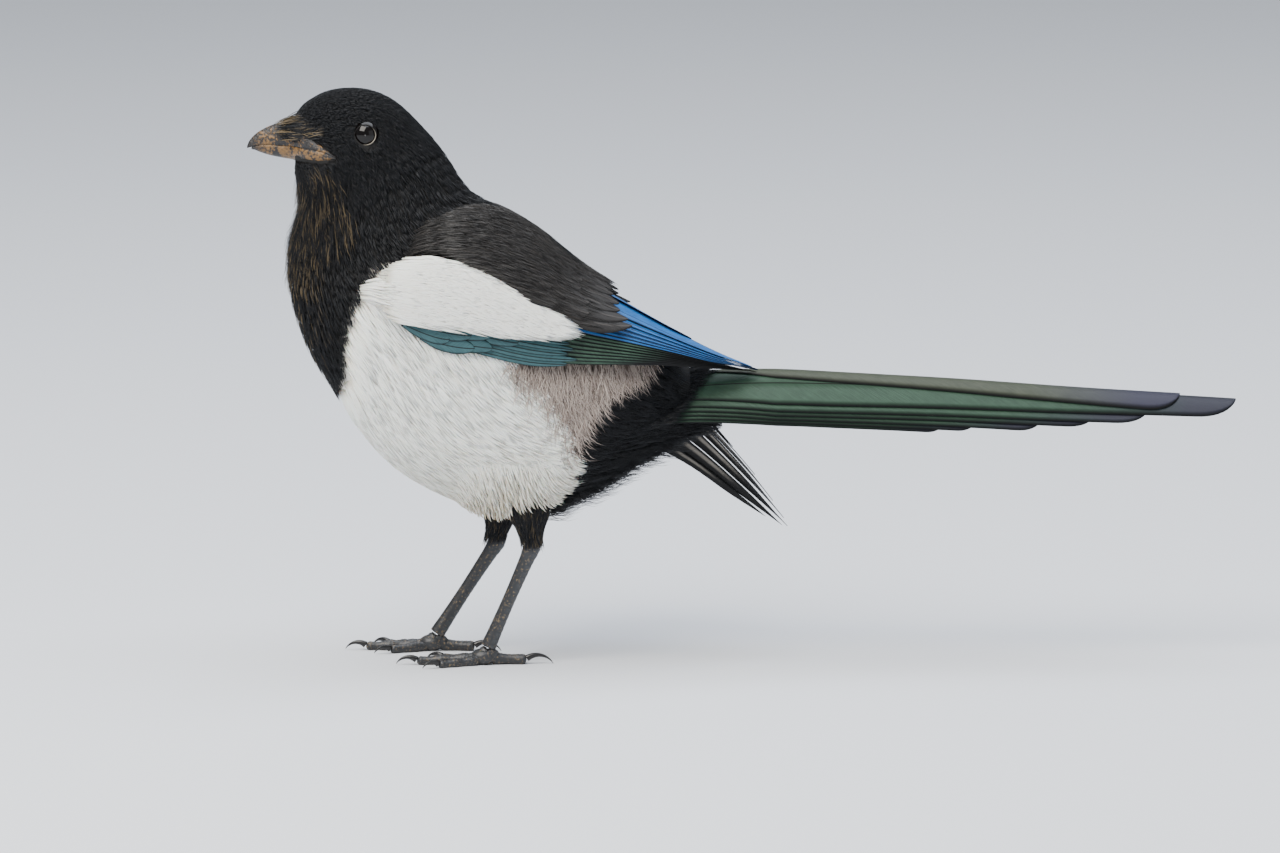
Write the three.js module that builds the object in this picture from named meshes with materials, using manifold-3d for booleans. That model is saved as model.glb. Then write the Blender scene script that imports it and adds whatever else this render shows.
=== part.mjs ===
// Eurasian magpie at life size, standing, in millimetres, +Z up.
// The bill points to -X and the tail to +X; the bird's left side is -Y. Its soles stand on Z = 0.
import * as THREE from 'three';
import { mergeVertices } from 'three/addons/utils/BufferGeometryUtils.js';
import Module from 'manifold-3d';

const wasm = await Module();
wasm.setup();

// Driving dimensions
const GAP = 0.3; // clear space between two neighbouring pieces
const LEFT = -1;
const RIGHT = 1;
const FULL_TURN = 2 * Math.PI;

// Body outline, nape to tail root. Each row: station, back X and Z, underside X and Z, half width,
// and how much wider the lower half is than the upper.
const BODY_ROWS = [
  [0, -192.4, 233.6, -192.2, 212.6, 7.6, 0.0],
  [1, -187.6, 240.1, -190.6, 208.4, 11.2, 0.02],
  [2, -176.5, 245.8, -189.8, 201.6, 14.8, 0.04],
  [3, -162.0, 246.3, -189.6, 194.5, 17.0, 0.05],
  [4, -149.6, 241.4, -191.6, 187.6, 17.8, 0.04],
  [5, -138.2, 230.9, -193.6, 180.0, 18.6, 0.02],
  [6, -128.2, 218.9, -194.2, 170.6, 21.0, 0.0],
  [7, -117.6, 203.3, -193.8, 159.2, 25.5, 0.0],
  [8, -105.2, 195.8, -190.4, 146.0, 30.5, 0.02],
  [9, -90.4, 187.6, -184.6, 131.8, 34.5, 0.04],
  [10, -75.6, 176.6, -176.0, 118.2, 37.0, 0.06],
  [11, -61.6, 163.6, -164.6, 99.6, 38.0, 0.08],
  [12, -50.4, 152.4, -148.6, 82.6, 37.6, 0.1],
  [13, -41.0, 143.6, -126.4, 70.2, 36.0, 0.12],
  [14, -33.6, 137.6, -104.6, 63.6, 33.0, 0.12],
  [15, -27.4, 132.4, -86.4, 64.6, 28.6, 0.1],
  [16, -21.8, 127.6, -68.4, 74.0, 23.4, 0.06],
  [17, -15.8, 124.0, -45.4, 87.6, 17.4, 0.02],
  [18, -9.4, 121.8, -25.6, 96.6, 12.4, 0.0],
  [19, -2.6, 119.6, -9.4, 101.6, 8.4, 0.0],
];
const BODY_SQUARENESS = 0.92; // below 1 the sides of a section bulge past an ellipse
const BODY_SIDES = 20;

// Cuts that part the body: each is a straight line across the side view, X and Z of its two ends
const HEAD_CUT = [[-190.4, 190.6], [-136.4, 234.6]];
const BREAST_CUT = [[-174.6, 115.4], [-136.2, 220.6]];
const RUMP_CUT = [[-88.0, 60.0], [-58.0, 170.0]];
const BACK_CUT = [[-160.0, 184.0], [-50.0, 137.6]];

// Bill: X, upper edge Z, mouth line Z, lower edge Z, half width
const BILL_ROWS = [
  [-212.4, 222.0, 220.9, 220.5, 0.5],
  [-211.6, 223.9, 221.2, 220.6, 1.1],
  [-209.2, 226.7, 221.9, 220.2, 1.9],
  [-206.4, 228.7, 222.6, 219.1, 2.6],
  [-202.4, 230.7, 222.7, 217.9, 3.4],
  [-197.0, 232.3, 222.4, 216.8, 4.4],
  [-192.6, 233.2, 222.4, 216.3, 5.3],
  [-188.0, 233.6, 222.4, 216.0, 6.1],
  [-184.0, 232.6, 222.2, 215.8, 6.6],
];
const LOWER_BILL_SETBACK = 1.9; // the hooked upper tip passes the lower one by this much
const GAPE_UPPER = [[-192, 226], [-181.7, 224.2], [-176, 220.9], [-173.9, 218.7], [-177.4, 220.25],
  [-185, 222.3], [-192, 222.55]];
const GAPE_LOWER = [[-192, 222.25], [-185, 222.0], [-177.4, 219.95], [-173.9, 218.4], [-175, 216.8],
  [-179.5, 214.4], [-186, 215.1], [-192, 216.2]];
const BEYOND_CHEEK = 30; // further from the middle than any part of the head
const GAPE_RIM = 0.5; // how far the bare gape stands proud of the cheek
// What is cut from the cheek to make room for both gapes
const GAPE_SPACE = [[-196, 227], [-181.4, 224.6], [-175.6, 221.2], [-173.4, 218.6], [-174.7, 216.5],
  [-179.4, 214.0], [-186, 214.7], [-196, 215.6]];
const BILL_SPACE = 0.6; // clear space round the bill's base inside the head
const NOSTRIL = { x: -196.4, y: 4.4, z: 228.4, length: 2.3, height: 1.0, depth: 1.5 };

// Eye
const EYE = { x: -161.3, y: 10.9, z: 228.3, radius: 6.2 };
const LID = { y: 15.2, ring: 5.1, thickness: 0.75 };

// Shell that a wing lies on: distance along it, lowest edge, highest edge, centre and half width sideways
const LEFT_WING_ROWS = [
  [-160, 156.0, 172.0, 20, 13.0],
  [-150, 149.0, 184.0, 10, 26.0],
  [-130, 140.0, 190.0, 2, 37.2],
  [-110, 136.4, 188.0, 1, 39.2],
  [-90, 132.6, 181.0, 1, 38.8],
  [-70, 131.6, 167.6, 4, 33.6],
  [-50, 131.2, 156.4, 7, 27.0],
  [-30, 130.0, 145.0, 7, 20.0],
  [-10, 126.8, 134.6, 5, 12.4],
  [6.4, 124.6, 127.8, 2, 7.4],
];
const RIGHT_WING_ROWS = [
  [0, -4, 12, 22.5, 10],
  [12, -12, 26, 23.5, 13],
  [35, -18, 34, 24.5, 16],
  [60, -18, 37, 25.5, 16],
  [90, -14, 35, 25.5, 15],
  [120, -7, 29, 25, 13],
  [150, -2, 21, 24, 11],
  [175, -1.5, 14.5, 24, 9],
  [203, -1, 5, 24, 8],
];
const RIGHT_WRIST = { x: -146, z: 168 };
const RIGHT_DROOP = 35.4; // degrees below level
const EDGE_ANGLE = 15; // degrees below the widest line at which a wing's lower edge lies
const WING_TOP_ANGLE = 80;
const WING_STATIONS = 9;
const WING_DEPTH = 4.9;
const WING_SKIN = 0.3; // how far the solid part stands over the shell
const WING_ROOM = 1.6; // further depth of the hollow that the wing lies in
const COVERT_TOP = 2.7; // how far the coverts stand over the flight feathers
const FLESH_END = { left: -106, right: 62 }; // where the wing's solid part ends and bare feathers go on

// Vanes: thickness, spacing of those that lie over one another, and outline from root to tip
const VANE_THICKNESS = 0.52;
const LAYER = 0.95;
const VANE_STEPS = [0, 0.36, 0.74, 0.92, 1];
const VANE_WIDTHS = [0.6, 1, 0.96, 0.66, 0.14];
const COVERT_STEPS = [0, 0.45, 0.8, 1];
const COVERT_WIDTHS = [0.6, 1, 0.84, 0.2];

// Flight feathers, from the innermost down to the short outermost: each lies one step further round
const FLIGHT_SPAN = 26; // degrees that one vane covers
const FLIGHT_STEP = 6.8; // degrees from one lower edge to the next
const LEFT_TIPS = [-60, -40, -22, -8, 2, 6, 4, -1, -7, -28, -66];
const RIGHT_TIPS = [94, 108, 122, 136, 152, 168, 180, 191, 199, 202, 192];

// Coverts in rows: where the row's roots and tips lie, its lower and upper angle, how many
const LEFT_COVERTS = [
  { root: -124, tip: -80, low: -13, high: 21, count: 4 },
  { root: -138, tip: -104, low: -12, high: 18, count: 3 },
  { root: -151, tip: -122, low: -9, high: 14, count: 2 },
];
const COVERT_ANGLE = 23; // coverts lie below this angle
const RIGHT_COVERTS = [
  { root: 40, tip: 84, low: -13, high: 21, count: 4 },
  { root: 24, tip: 62, low: -12, high: 18, count: 3 },
  { root: 9, tip: 40, low: -9, high: 14, count: 2 },
];
const COVERT_RISE = 0.06; // height gained for each millimetre towards the tip

// Shell of the shoulder feathers
const SHOULDER_ROWS = [
  [-160, 151.0, 190.0, 0, 36.5],
  [-150, 146.0, 196.0, 0, 41.0],
  [-130, 141.0, 199.6, 0, 44.6],
  [-110, 136.4, 197.4, 0, 45.8],
  [-90, 132.6, 187.4, 0, 45.4],
  [-70, 131.6, 171.6, 0, 43.0],
  [-50, 131.2, 158.6, 0, 38.6],
  [-36, 130.4, 150.2, 0, 33.6],
];
// X, lower and upper angle of the white patch, and the same for the black shoulder feathers above it
const WHITE_ROWS = [
  [-158, 4, 18],
  [-150, -3, 28],
  [-138, -3, 31],
  [-122, -1, 28],
  [-106, 1, 24],
  [-92, 5, 21],
  [-78, 13, 18],
];
const BLACK_ROWS = [
  [-132, 36, 60],
  [-122, 30, 74],
  [-106, 26, 82],
  [-92, 22, 84],
  [-78, 19, 84],
  [-62, 17, 84],
  [-50, 24, 80],
  [-38, 44, 62],
];
const SHOULDER_DEPTH = 2.4;
const SHOULDER_CORE_TOP = -0.9;
// Rows of shoulder feathers: first and last root, number of rows, vane length and width
const WHITE_VANES = { first: -157, last: -112, rows: 4, length: 38, width: 13.5 };
const BLACK_VANES = { first: -131, last: -74, rows: 4, length: 40, width: 19 };

// Tail: X and Z of its ridge, then the roof-shaped section and its half width along each slope
const RIDGE_ROWS = [
  [-40, 121.4],
  [-18, 123.8],
  [10, 124.6],
  [42, 123.2],
  [85, 120.8],
  [136, 117.2],
  [187, 114.0],
  [213, 112.4],
];
const ROOF_LEFT = 48; // degrees that the left slope falls
const ROOF_RIGHT = 14;
const ROOF_RADIUS = 9;
const TAIL_OUTLINE = [
  [-34, 8],
  [-26, 16.5],
  [-10, 20.5],
  [20, 27.6],
  [50, 28.8],
  [86, 27.5],
  [100, 26],
  [128, 23],
  [150, 19],
  [174, 15],
  [200, 12],
  [212, 5],
];
const TAIL_DEPTH = 7;
const TAIL_TIP_DEPTH = 1.2;
// Tail feathers, central pair first: layer, X of the tip, and the distance of the outer edge from the
// ridge near the root, at the middle and at the tip
const TAIL_CORE_END = -14;
const TAIL_ROOT = -26;
const TAIL_SPREAD_END = 30; // X where the fan has its full width
const RECTRICES = [
  { name: 'first_right', side: -1, layer: 0, tip: 188, outer: [12, 18, 13], width: 25 },
  { name: 'first_left', side: 1, layer: 1, tip: 212, outer: [13, 20.5, 12.5], width: 25 },
  { name: 'second', layer: 2, tip: 174, outer: [13.5, 23.6, 18], width: 22 },
  { name: 'third', layer: 3, tip: 152, outer: [14, 25.2, 21], width: 21 },
  { name: 'fourth', layer: 4, tip: 129, outer: [14.5, 26.6, 24.4], width: 20 },
  { name: 'fifth', layer: 5, tip: 101, outer: [15, 27.6, 26.4], width: 19 },
  { name: 'sixth', layer: 6, tip: 87, outer: [15.5, 28.4, 27.6], width: 18 },
];

// Legs
const LEGS = [
  { name: 'left', side: LEFT, hock: [-90.1, 51.7], ankle: [-109.9, 6.4], thighTop: [-93.2, 76] },
  { name: 'right', side: RIGHT, hock: [-105.6, 48.1], ankle: [-132.7, 6.4], thighTop: [-100.2, 76] },
];
const THIGH_HALF_LENGTH = 12.4; // half of the thigh's extent from front to rear at its top
const LEG_SPREAD = 19; // each leg stands this far from the middle
const TARSUS_RADIUS = 2.7;
const HOCK_RADIUS = 3.5;
const ANKLE_HEIGHT = 4.6; // length of the ankle that belongs to the foot
// Toes: direction in degrees from straight ahead (outward positive), length, radius, claw length
const TOES = [
  { name: 'inner', turn: -24, length: 21, radius: 2.2, claw: 8.5, joints: 2 },
  { name: 'middle', turn: 2, length: 30, radius: 2.4, claw: 10, joints: 3 },
  { name: 'outer', turn: 27, length: 23, radius: 2.1, claw: 8.5, joints: 3 },
  { name: 'hind', turn: 184, length: 17, radius: 2.6, claw: 13, joints: 1 },
];
const CLAW_CLEAR = 1.0; // from the end of the toe to the middle of the claw's base
const CLAW_RISE = 36; // degrees that a claw points up where it leaves the toe
const CLAW_FALL = -58; // and at its tip

const radians = (degrees) => (degrees * Math.PI) / 180;
const mix = (a, b, t) => a + (b - a) * t;

// A smooth curve through rows of numbers, read by the first number of each row
function through(rows) {
  const last = rows.length - 1;
  const slopes = rows.map((row, i) => {
    const before = rows[Math.max(i - 1, 0)];
    const after = rows[Math.min(i + 1, last)];
    return row.map((_, k) => (after[k] - before[k]) / (after[0] - before[0]));
  });
  return (at) => {
    const x = Math.min(Math.max(at, rows[0][0]), rows[last][0]);
    let i = 0;
    while (i < last - 1 && x > rows[i + 1][0]) i += 1;
    const step = rows[i + 1][0] - rows[i][0];
    const t = (x - rows[i][0]) / step;
    const a = 2 * t ** 3 - 3 * t ** 2 + 1;
    const b = t ** 3 - 2 * t ** 2 + t;
    const c = 3 * t ** 2 - 2 * t ** 3;
    const d = t ** 3 - t ** 2;
    const level = (k) => a * rows[i][k] + c * rows[i + 1][k];
    const lean = (k) => step * (b * slopes[i][k] + d * slopes[i + 1][k]);
    return rows[0].slice(1).map((_, k) => level(k + 1) + lean(k + 1));
  };
}

function evenly(from, to, steps) {
  return Array.from({ length: steps + 1 }, (_, i) => mix(from, to, i / steps));
}

// A solid whose faces point outward, from loose vertices and triangles
function solid(points, triangles) {
  const geometry = new THREE.BufferGeometry();
  geometry.setAttribute('position', new THREE.Float32BufferAttribute(points.flat(), 3));
  geometry.setIndex(triangles.flat());
  return fromGeometry(geometry);
}

function fromGeometry(geometry) {
  const bare = geometry.clone();
  bare.deleteAttribute('normal');
  bare.deleteAttribute('uv');
  const merged = mergeVertices(bare, 1e-4);
  const p = merged.attributes.position.array;
  const index = Array.from(merged.index.array);
  const faces = [];
  let volume = 0;
  for (let i = 0; i < index.length; i += 3) {
    const [a, b, c] = index.slice(i, i + 3);
    if (a === b || b === c || c === a) continue;
    faces.push([a, b, c]);
    const [A, B, C] = [a, b, c].map((v) => new THREE.Vector3().fromArray(p, 3 * v));
    volume += A.dot(B.cross(C));
  }
  const turned = volume < 0 ? faces.map(([a, b, c]) => [a, c, b]) : faces;
  const mesh = new wasm.Mesh({
    numProp: 3,
    vertProperties: Float32Array.from(p),
    triVerts: Uint32Array.from(turned.flat()),
  });
  return new wasm.Manifold(mesh);
}

// Rings of equally many points joined into a closed solid. A column of the ring named in
// crossed splits its quads along the other diagonal, so that both faces of a thin vane match.
function ringSolid(rings, crossed = []) {
  const sides = rings[0].length;
  const points = rings.flat();
  const triangles = [];
  for (let k = 0; k < rings.length - 1; k += 1) {
    for (let j = 0; j < sides; j += 1) {
      const next = (j + 1) % sides;
      const [a, b] = [k * sides + j, k * sides + next];
      const [c, d] = [a + sides, b + sides];
      if (crossed.includes(j)) triangles.push([a, b, c], [b, d, c]);
      else triangles.push([a, b, d], [a, d, c]);
    }
  }
  const capped = [[rings[0], 0, true], [rings.at(-1), (rings.length - 1) * sides, false]];
  for (const [ring, first, start] of capped) {
    const centre = points.length;
    points.push([0, 1, 2].map((k) => ring.reduce((sum, q) => sum + q[k], 0) / sides));
    for (let j = 0; j < sides; j += 1) {
      const [a, b] = [first + j, first + ((j + 1) % sides)];
      triangles.push(start ? [centre, b, a] : [centre, a, b]);
    }
  }
  return solid(points, triangles);
}

const join = (pieces) => pieces.reduce((whole, piece) => whole.add(piece));

function largest(shape) {
  const pieces = shape.decompose();
  return pieces.reduce((best, piece) => (piece.volume() > best.volume() ? piece : best));
}

// Everything on either side of a line across the side view, with the gap between the two
function partAt(shape, [[x0, z0], [x1, z1]]) {
  const length = Math.hypot(x1 - x0, z1 - z0);
  const normal = [(z1 - z0) / length, 0, -(x1 - x0) / length];
  const offset = normal[0] * x0 + normal[2] * z0;
  const behind = shape.trimByPlane(normal, offset + GAP / 2);
  const ahead = shape.trimByPlane(normal.map((n) => -n), -offset + GAP / 2);
  return [ahead, behind];
}

// A flat outline of X and Z pairs, given thickness from one side of the bird to the other
function sidePrism(outline, halfWidth) {
  const ring = (y) => outline.map(([x, z]) => [x, y, z]);
  return ringSolid([ring(-halfWidth), ring(halfWidth)]);
}

// Body
const bodyAt = through(BODY_ROWS);

function bodyRing(station, grow) {
  const [backX, backZ, underX, underZ, halfWidth, lower] = bodyAt(station);
  const height = Math.hypot(backX - underX, backZ - underZ);
  const up = [(backX - underX) / height, (backZ - underZ) / height];
  return evenly(0, FULL_TURN, BODY_SIDES).slice(0, BODY_SIDES).map((turn) => {
    const side = Math.sin(turn);
    const bulge = Math.sign(side) * Math.abs(side) ** BODY_SQUARENESS;
    const y = (halfWidth + grow) * bulge * (1 - lower * Math.cos(turn));
    const rise = (height / 2 + grow) * Math.cos(turn);
    return [(backX + underX) / 2 + up[0] * rise, y, (backZ + underZ) / 2 + up[1] * rise];
  });
}

function bodySolid(grow) {
  const stations = [...evenly(0, 4, 6), ...evenly(4.9, 19, 14)];
  return ringSolid(stations.map((station) => bodyRing(station, grow)));
}

// Shells: a point at a distance along, an angle round and a height over the shell
function shell(rows, side, place = (p) => p) {
  const at = through(rows);
  const edge = Math.sin(radians(EDGE_ANGLE));
  return (along, angle, height) => {
    const [low, top, centreY, halfY] = at(along);
    const centreZ = (low + edge * top) / (1 + edge);
    const halfZ = top - centreZ;
    const [c, s] = [Math.cos(radians(angle)), Math.sin(radians(angle))];
    const length = Math.hypot(c / halfY, s / halfZ);
    const y = centreY + halfY * c + (height * c) / (halfY * length);
    const z = centreZ + halfZ * s + (height * s) / (halfZ * length);
    return place([along, side * y, z]);
  };
}

// The right wing hangs from its wrist
function drooped([x, y, z]) {
  const [c, s] = [Math.cos(radians(RIGHT_DROOP)), Math.sin(radians(RIGHT_DROOP))];
  return [RIGHT_WRIST.x + x * c + z * s, y, RIGHT_WRIST.z - x * s + z * c];
}

// A list of even steps with one more value past each end when it is grown
function widened(values, grow) {
  return grow > 0 ? [values[0] - 2 * grow, ...values, values.at(-1) + 2 * grow] : values;
}

// A slab of a shell: its stations, its angles there and its heights from inner to outer, grown all round
function slab(surface, stations, angles, inner, outer, grow, columns = 8) {
  const rings = widened(stations, grow).map((x) => {
    const [from, to] = angles(x);
    const turns = widened(evenly(from, to, columns), grow);
    const face = (height) => turns.map((turn) => surface(x, turn, height));
    return [...face(outer(x) + grow), ...face(inner(x) - grow).reverse()];
  });
  const half = rings[0].length / 2;
  return ringSolid(rings, Array.from({ length: half - 1 }, (_, i) => half + i));
}

// A thin feather on a surface. At each part of its length, edges() gives its two sides there and
// height() how high it lies; its width narrows to a rounded tip.
function vane(surface, { start, end, edges, height, steps = VANE_STEPS, widths = VANE_WIDTHS, columns = 2 }) {
  const rings = steps.map((u, k) => {
    const x = mix(start, end, u);
    const [from, to] = edges(x);
    const middle = (from + to) / 2;
    const half = ((to - from) / 2) * widths[k];
    const thick = (VANE_THICKNESS / 2) * (k === steps.length - 1 ? 0.6 : 1);
    const across = evenly(middle - half, middle + half, columns);
    const face = (side) => across.map((a) => surface(x, a, height(x, a) + side * thick));
    return [...face(1), ...face(-1).reverse()];
  });
  const half = columns + 1;
  return ringSolid(rings, Array.from({ length: columns }, (_, i) => half + i));
}

// Degrees round a shell that a width in millimetres takes at a place on it
function widthInDegrees(surface, x, angle, width) {
  const [a, b] = [surface(x, angle - 1, 0), surface(x, angle + 1, 0)];
  return (2 * width) / Math.hypot(a[0] - b[0], a[1] - b[1], a[2] - b[2]);
}

const WINGS = {
  left: { side: LEFT, rows: LEFT_WING_ROWS, place: (p) => p, flesh: FLESH_END.left, tips: LEFT_TIPS,
    coverts: LEFT_COVERTS },
  right: { side: RIGHT, rows: RIGHT_WING_ROWS, place: drooped, flesh: FLESH_END.right, tips: RIGHT_TIPS,
    coverts: RIGHT_COVERTS },
};

const wingStations = (rows) => evenly(rows[0][0], rows.at(-1)[0], WING_STATIONS);

function wing(layout) {
  const { side, rows, place, flesh, tips, coverts } = layout;
  const surface = shell(rows, side, place);
  const angles = () => [-EDGE_ANGLE, WING_TOP_ANGLE];
  const solidPart = evenly(rows[0][0], flesh, 5);
  const core = slab(surface, solidPart, angles, () => -WING_DEPTH, () => WING_SKIN, 0, 6);
  const flight = tips.map((tip, i) => {
    const low = WING_TOP_ANGLE - FLIGHT_SPAN - i * FLIGHT_STEP;
    const height = (x, angle) => (-LAYER * (angle - low)) / FLIGHT_STEP;
    return vane(surface, { start: flesh - 10, end: tip, edges: () => [low, low + FLIGHT_SPAN], height });
  });
  const cover = coverts.flatMap(({ root, tip, low, high, count }) =>
    evenly(low, high, count).slice(0, count).map((edge, i) => {
      const span = (high - low) / count;
      const reach = tip - (i % 2) * 4;
      const edges = () => [edge + 0.3, edge + span - 0.3];
      const height = (x) => -0.2 + COVERT_RISE * (x - root);
      const shape = { steps: COVERT_STEPS, widths: COVERT_WIDTHS, columns: 1 };
      return vane(surface, { start: root, end: reach, edges, height, ...shape });
    }));
  return largest(join([core, ...flight, ...cover]).intersect(wingSlab(layout, GAP)));
}

// Shoulder feathers: rows of vanes, each row half a feather aside of the one before, over a thin core
function shoulderVanes(side, rows, { first, last, rows: count, length, width }) {
  const surface = shell(SHOULDER_ROWS, side);
  const at = through(rows);
  const pitch = (last - first) / (count - 1);
  const vanes = [];
  for (let row = 0; row < count; row += 1) {
    const root = first + row * pitch;
    const end = Math.min(root + length, rows.at(-1)[0] + 3);
    const [low, high] = at(root + length * 0.4);
    const each = widthInDegrees(surface, root + length / 2, (low + high) / 2, width);
    const number = Math.max(1, Math.round((high - low) / each));
    const span = (high - low) / number;
    const shift = (row % 2) * 0.5;
    for (let i = 0; i < number; i += 1) {
      const share = (i + shift) / number;
      const edges = (x) => {
        const [from, to] = at(x);
        const left = mix(from, to, share);
        return [left + 0.35, Math.min(left + span - 0.35, to + 2)];
      };
      const height = (x) => -SHOULDER_DEPTH + 0.5 + (LAYER * (x - root)) / pitch;
      const shape = { steps: COVERT_STEPS, widths: COVERT_WIDTHS, columns: 1 };
      vanes.push(vane(surface, { start: root, end, edges, height, ...shape }));
    }
  }
  return vanes;
}

function shoulder(side, rows, layout) {
  const surface = shell(SHOULDER_ROWS, side);
  const coreEnd = mix(rows[0][0], rows.at(-1)[0], 0.86);
  const stations = evenly(rows[0][0], coreEnd, 7);
  const core = slab(surface, stations, through(rows), () => -SHOULDER_DEPTH, () => SHOULDER_CORE_TOP, 0, 4);
  return join([core, ...shoulderVanes(side, rows, layout)]);
}

// The space that a wing takes, to be cut from what it lies on
function wingSlab({ side, rows, place }, grow) {
  const surface = shell(rows, side, place);
  const stations = wingStations(rows);
  const whole = () => [-EDGE_ANGLE, WING_TOP_ANGLE];
  const lower = () => [-EDGE_ANGLE, COVERT_ANGLE];
  const wide = slab(surface, stations, whole, () => -WING_DEPTH - WING_ROOM, () => WING_SKIN, grow);
  return wide.add(slab(surface, stations, lower, () => 0, () => COVERT_TOP, grow, 3));
}

function shoulderSlab(side, rows, grow) {
  const surface = shell(SHOULDER_ROWS, side);
  const at = through(rows);
  const stations = evenly(rows[0][0], rows.at(-1)[0], 14);
  return slab(surface, stations, at, () => -SHOULDER_DEPTH, () => 0, grow, 6);
}

// Tail: a point at a distance along, a distance across from the ridge (left positive) and a height
const ridgeAt = through(RIDGE_ROWS);
const ROUND_LEFT = ROOF_RADIUS * radians(ROOF_LEFT);
const ROUND_RIGHT = ROOF_RADIUS * radians(ROOF_RIGHT);

function roof(along, across, height) {
  const round = Math.min(Math.max(across, -ROUND_RIGHT), ROUND_LEFT);
  const tilt = round / ROOF_RADIUS;
  const straight = across - round;
  const [z] = ridgeAt(along);
  const reach = (ROOF_RADIUS + height) * Math.sin(tilt) + straight * Math.cos(tilt);
  const fall = ROOF_RADIUS - (ROOF_RADIUS + height) * Math.cos(tilt) + straight * Math.sin(tilt);
  return [along, -reach, z - fall];
}

function rectrix({ side = 1, layer, tip, outer, width }) {
  const [root, middle, end] = outer;
  const edge = (x) => {
    const opened = Math.min(1, (x - TAIL_ROOT) / (TAIL_SPREAD_END - TAIL_ROOT));
    const near = mix(root, middle, opened);
    return x < TAIL_SPREAD_END ? near : mix(middle, end, (x - TAIL_SPREAD_END) / (tip - TAIL_SPREAD_END));
  };
  const inner = (x) => {
    const wide = mix(0.5, 1, Math.min(1, (x - TAIL_ROOT) / (TAIL_SPREAD_END - TAIL_ROOT))) * width;
    return layer > 1 ? Math.max(0.4, edge(x) - wide) : edge(x) - wide;
  };
  const edges = (x) => (side > 0 ? [inner(x), edge(x)] : [-edge(x), -inner(x)]);
  const height = () => -0.3 - layer * LAYER;
  return vane(roof, { start: TAIL_ROOT, end: tip, edges, height, columns: layer > 1 ? 2 : 4 });
}

function tail() {
  const core = slab(roof, evenly(TAIL_OUTLINE[0][0], TAIL_CORE_END, 3), () => [-6, 6],
    () => -TAIL_DEPTH + 0.9, () => -0.4, 0, 4);
  const vanes = RECTRICES.flatMap((feather) => {
    if (feather.side) return [rectrix(feather)];
    return [rectrix({ ...feather, side: 1 }), rectrix({ ...feather, side: -1 })];
  });
  return largest(join([core, ...vanes]));
}

function tailSlab(grow) {
  const at = through(TAIL_OUTLINE);
  const [start, end] = [TAIL_OUTLINE[0][0], TAIL_OUTLINE.at(-1)[0]];
  const depth = (x) => mix(TAIL_DEPTH, TAIL_TIP_DEPTH, (x - start) / (end - start));
  const across = (x) => [-at(x)[0], at(x)[0]];
  return slab(roof, evenly(start, end, 20), across, (x) => -depth(x), () => 0, grow, 10);
}

// Bill
function billHalf(upper) {
  const rings = [];
  for (const [x, top, mouth, under, halfWidth] of BILL_ROWS) {
    const outer = upper ? top : under;
    const inner = mouth + (upper ? GAP / 2 : -GAP / 2);
    const tipGone = !upper && x < BILL_ROWS[0][0] + LOWER_BILL_SETBACK;
    if (tipGone) continue;
    rings.push(evenly(-90, 90, 8).map((turn) => {
      const [c, s] = [Math.cos(radians(turn)), Math.sin(radians(turn))];
      return [x, halfWidth * s, inner + (outer - inner) * c ** 0.8];
    }));
  }
  return ringSolid(rings);
}

function ball([x, y, z], [rx, ry, rz], around = 16, down = 10) {
  const geometry = new THREE.SphereGeometry(1, around, down);
  geometry.rotateX(Math.PI / 2);
  geometry.scale(rx, ry, rz);
  geometry.translate(x, y, z);
  return fromGeometry(geometry);
}

// A round bar along a path of centres, each with a half width and a half height
function bar(path, sides) {
  return ringSolid(path.map(({ at, wide, high }, i) => {
    const before = path[Math.max(i - 1, 0)].at;
    const after = path[Math.min(i + 1, path.length - 1)].at;
    const along = new THREE.Vector3(...after).sub(new THREE.Vector3(...before)).normalize();
    const across = new THREE.Vector3(-along.y, along.x, 0);
    if (across.length() < 0.2) across.set(0, 1, 0);
    across.normalize();
    const up = new THREE.Vector3().crossVectors(along, across).normalize();
    return evenly(0, FULL_TURN, sides).slice(0, sides).map((turn) => {
      const point = new THREE.Vector3(...at);
      point.addScaledVector(across, wide * Math.cos(turn));
      point.addScaledVector(up, high * Math.sin(turn));
      return point.toArray();
    });
  }));
}

// Legs
function legAxis({ hock, ankle }) {
  const run = [hock[0] - ankle[0], hock[1] - ankle[1]];
  const length = Math.hypot(...run);
  return { length, run: run.map((v) => v / length) };
}

function alongLeg(leg, distance, wide, high) {
  const { run } = legAxis(leg);
  const at = [leg.ankle[0] + run[0] * distance, leg.side * LEG_SPREAD, leg.ankle[1] + run[1] * distance];
  return { at, wide, high };
}

function tarsus(leg) {
  const { length } = legAxis(leg);
  const bottom = ANKLE_HEIGHT + GAP;
  const path = [
    [bottom, 3.0, 3.1],
    [bottom + 5, 2.6, 2.9],
    [mix(bottom, length, 0.5), TARSUS_RADIUS, TARSUS_RADIUS],
    [length - 7, 2.7, 3.1],
    [length - 3, 3.3, HOCK_RADIUS],
    [length, 3.2, HOCK_RADIUS],
    [length + 2.6, 2.2, 2.6],
  ];
  return bar(path.map((row) => alongLeg(leg, ...row)), 10);
}

function thigh(leg, body) {
  const y = leg.side * LEG_SPREAD;
  const [topX, topZ] = leg.thighTop;
  const [lowX, lowZ] = [leg.hock[0] - 0.6, leg.hock[1] + 3.4];
  const path = [
    { at: [lowX, y, lowZ], wide: 3.9, high: 4.4 },
    { at: [mix(lowX, topX, 0.2), y, mix(lowZ, topZ, 0.2)], wide: 4.8, high: 5.6 },
    { at: [mix(lowX, topX, 0.45), y, mix(lowZ, topZ, 0.45)], wide: 6.6, high: 8.6 },
    { at: [mix(lowX, topX, 0.75), y, mix(lowZ, topZ, 0.75)], wide: 8.4, high: 11.2 },
    { at: [topX, y, topZ], wide: 9.4, high: THIGH_HALF_LENGTH },
  ];
  return largest(bar(path, 12).subtract(body).subtract(grownTarsus(leg)));
}

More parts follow.
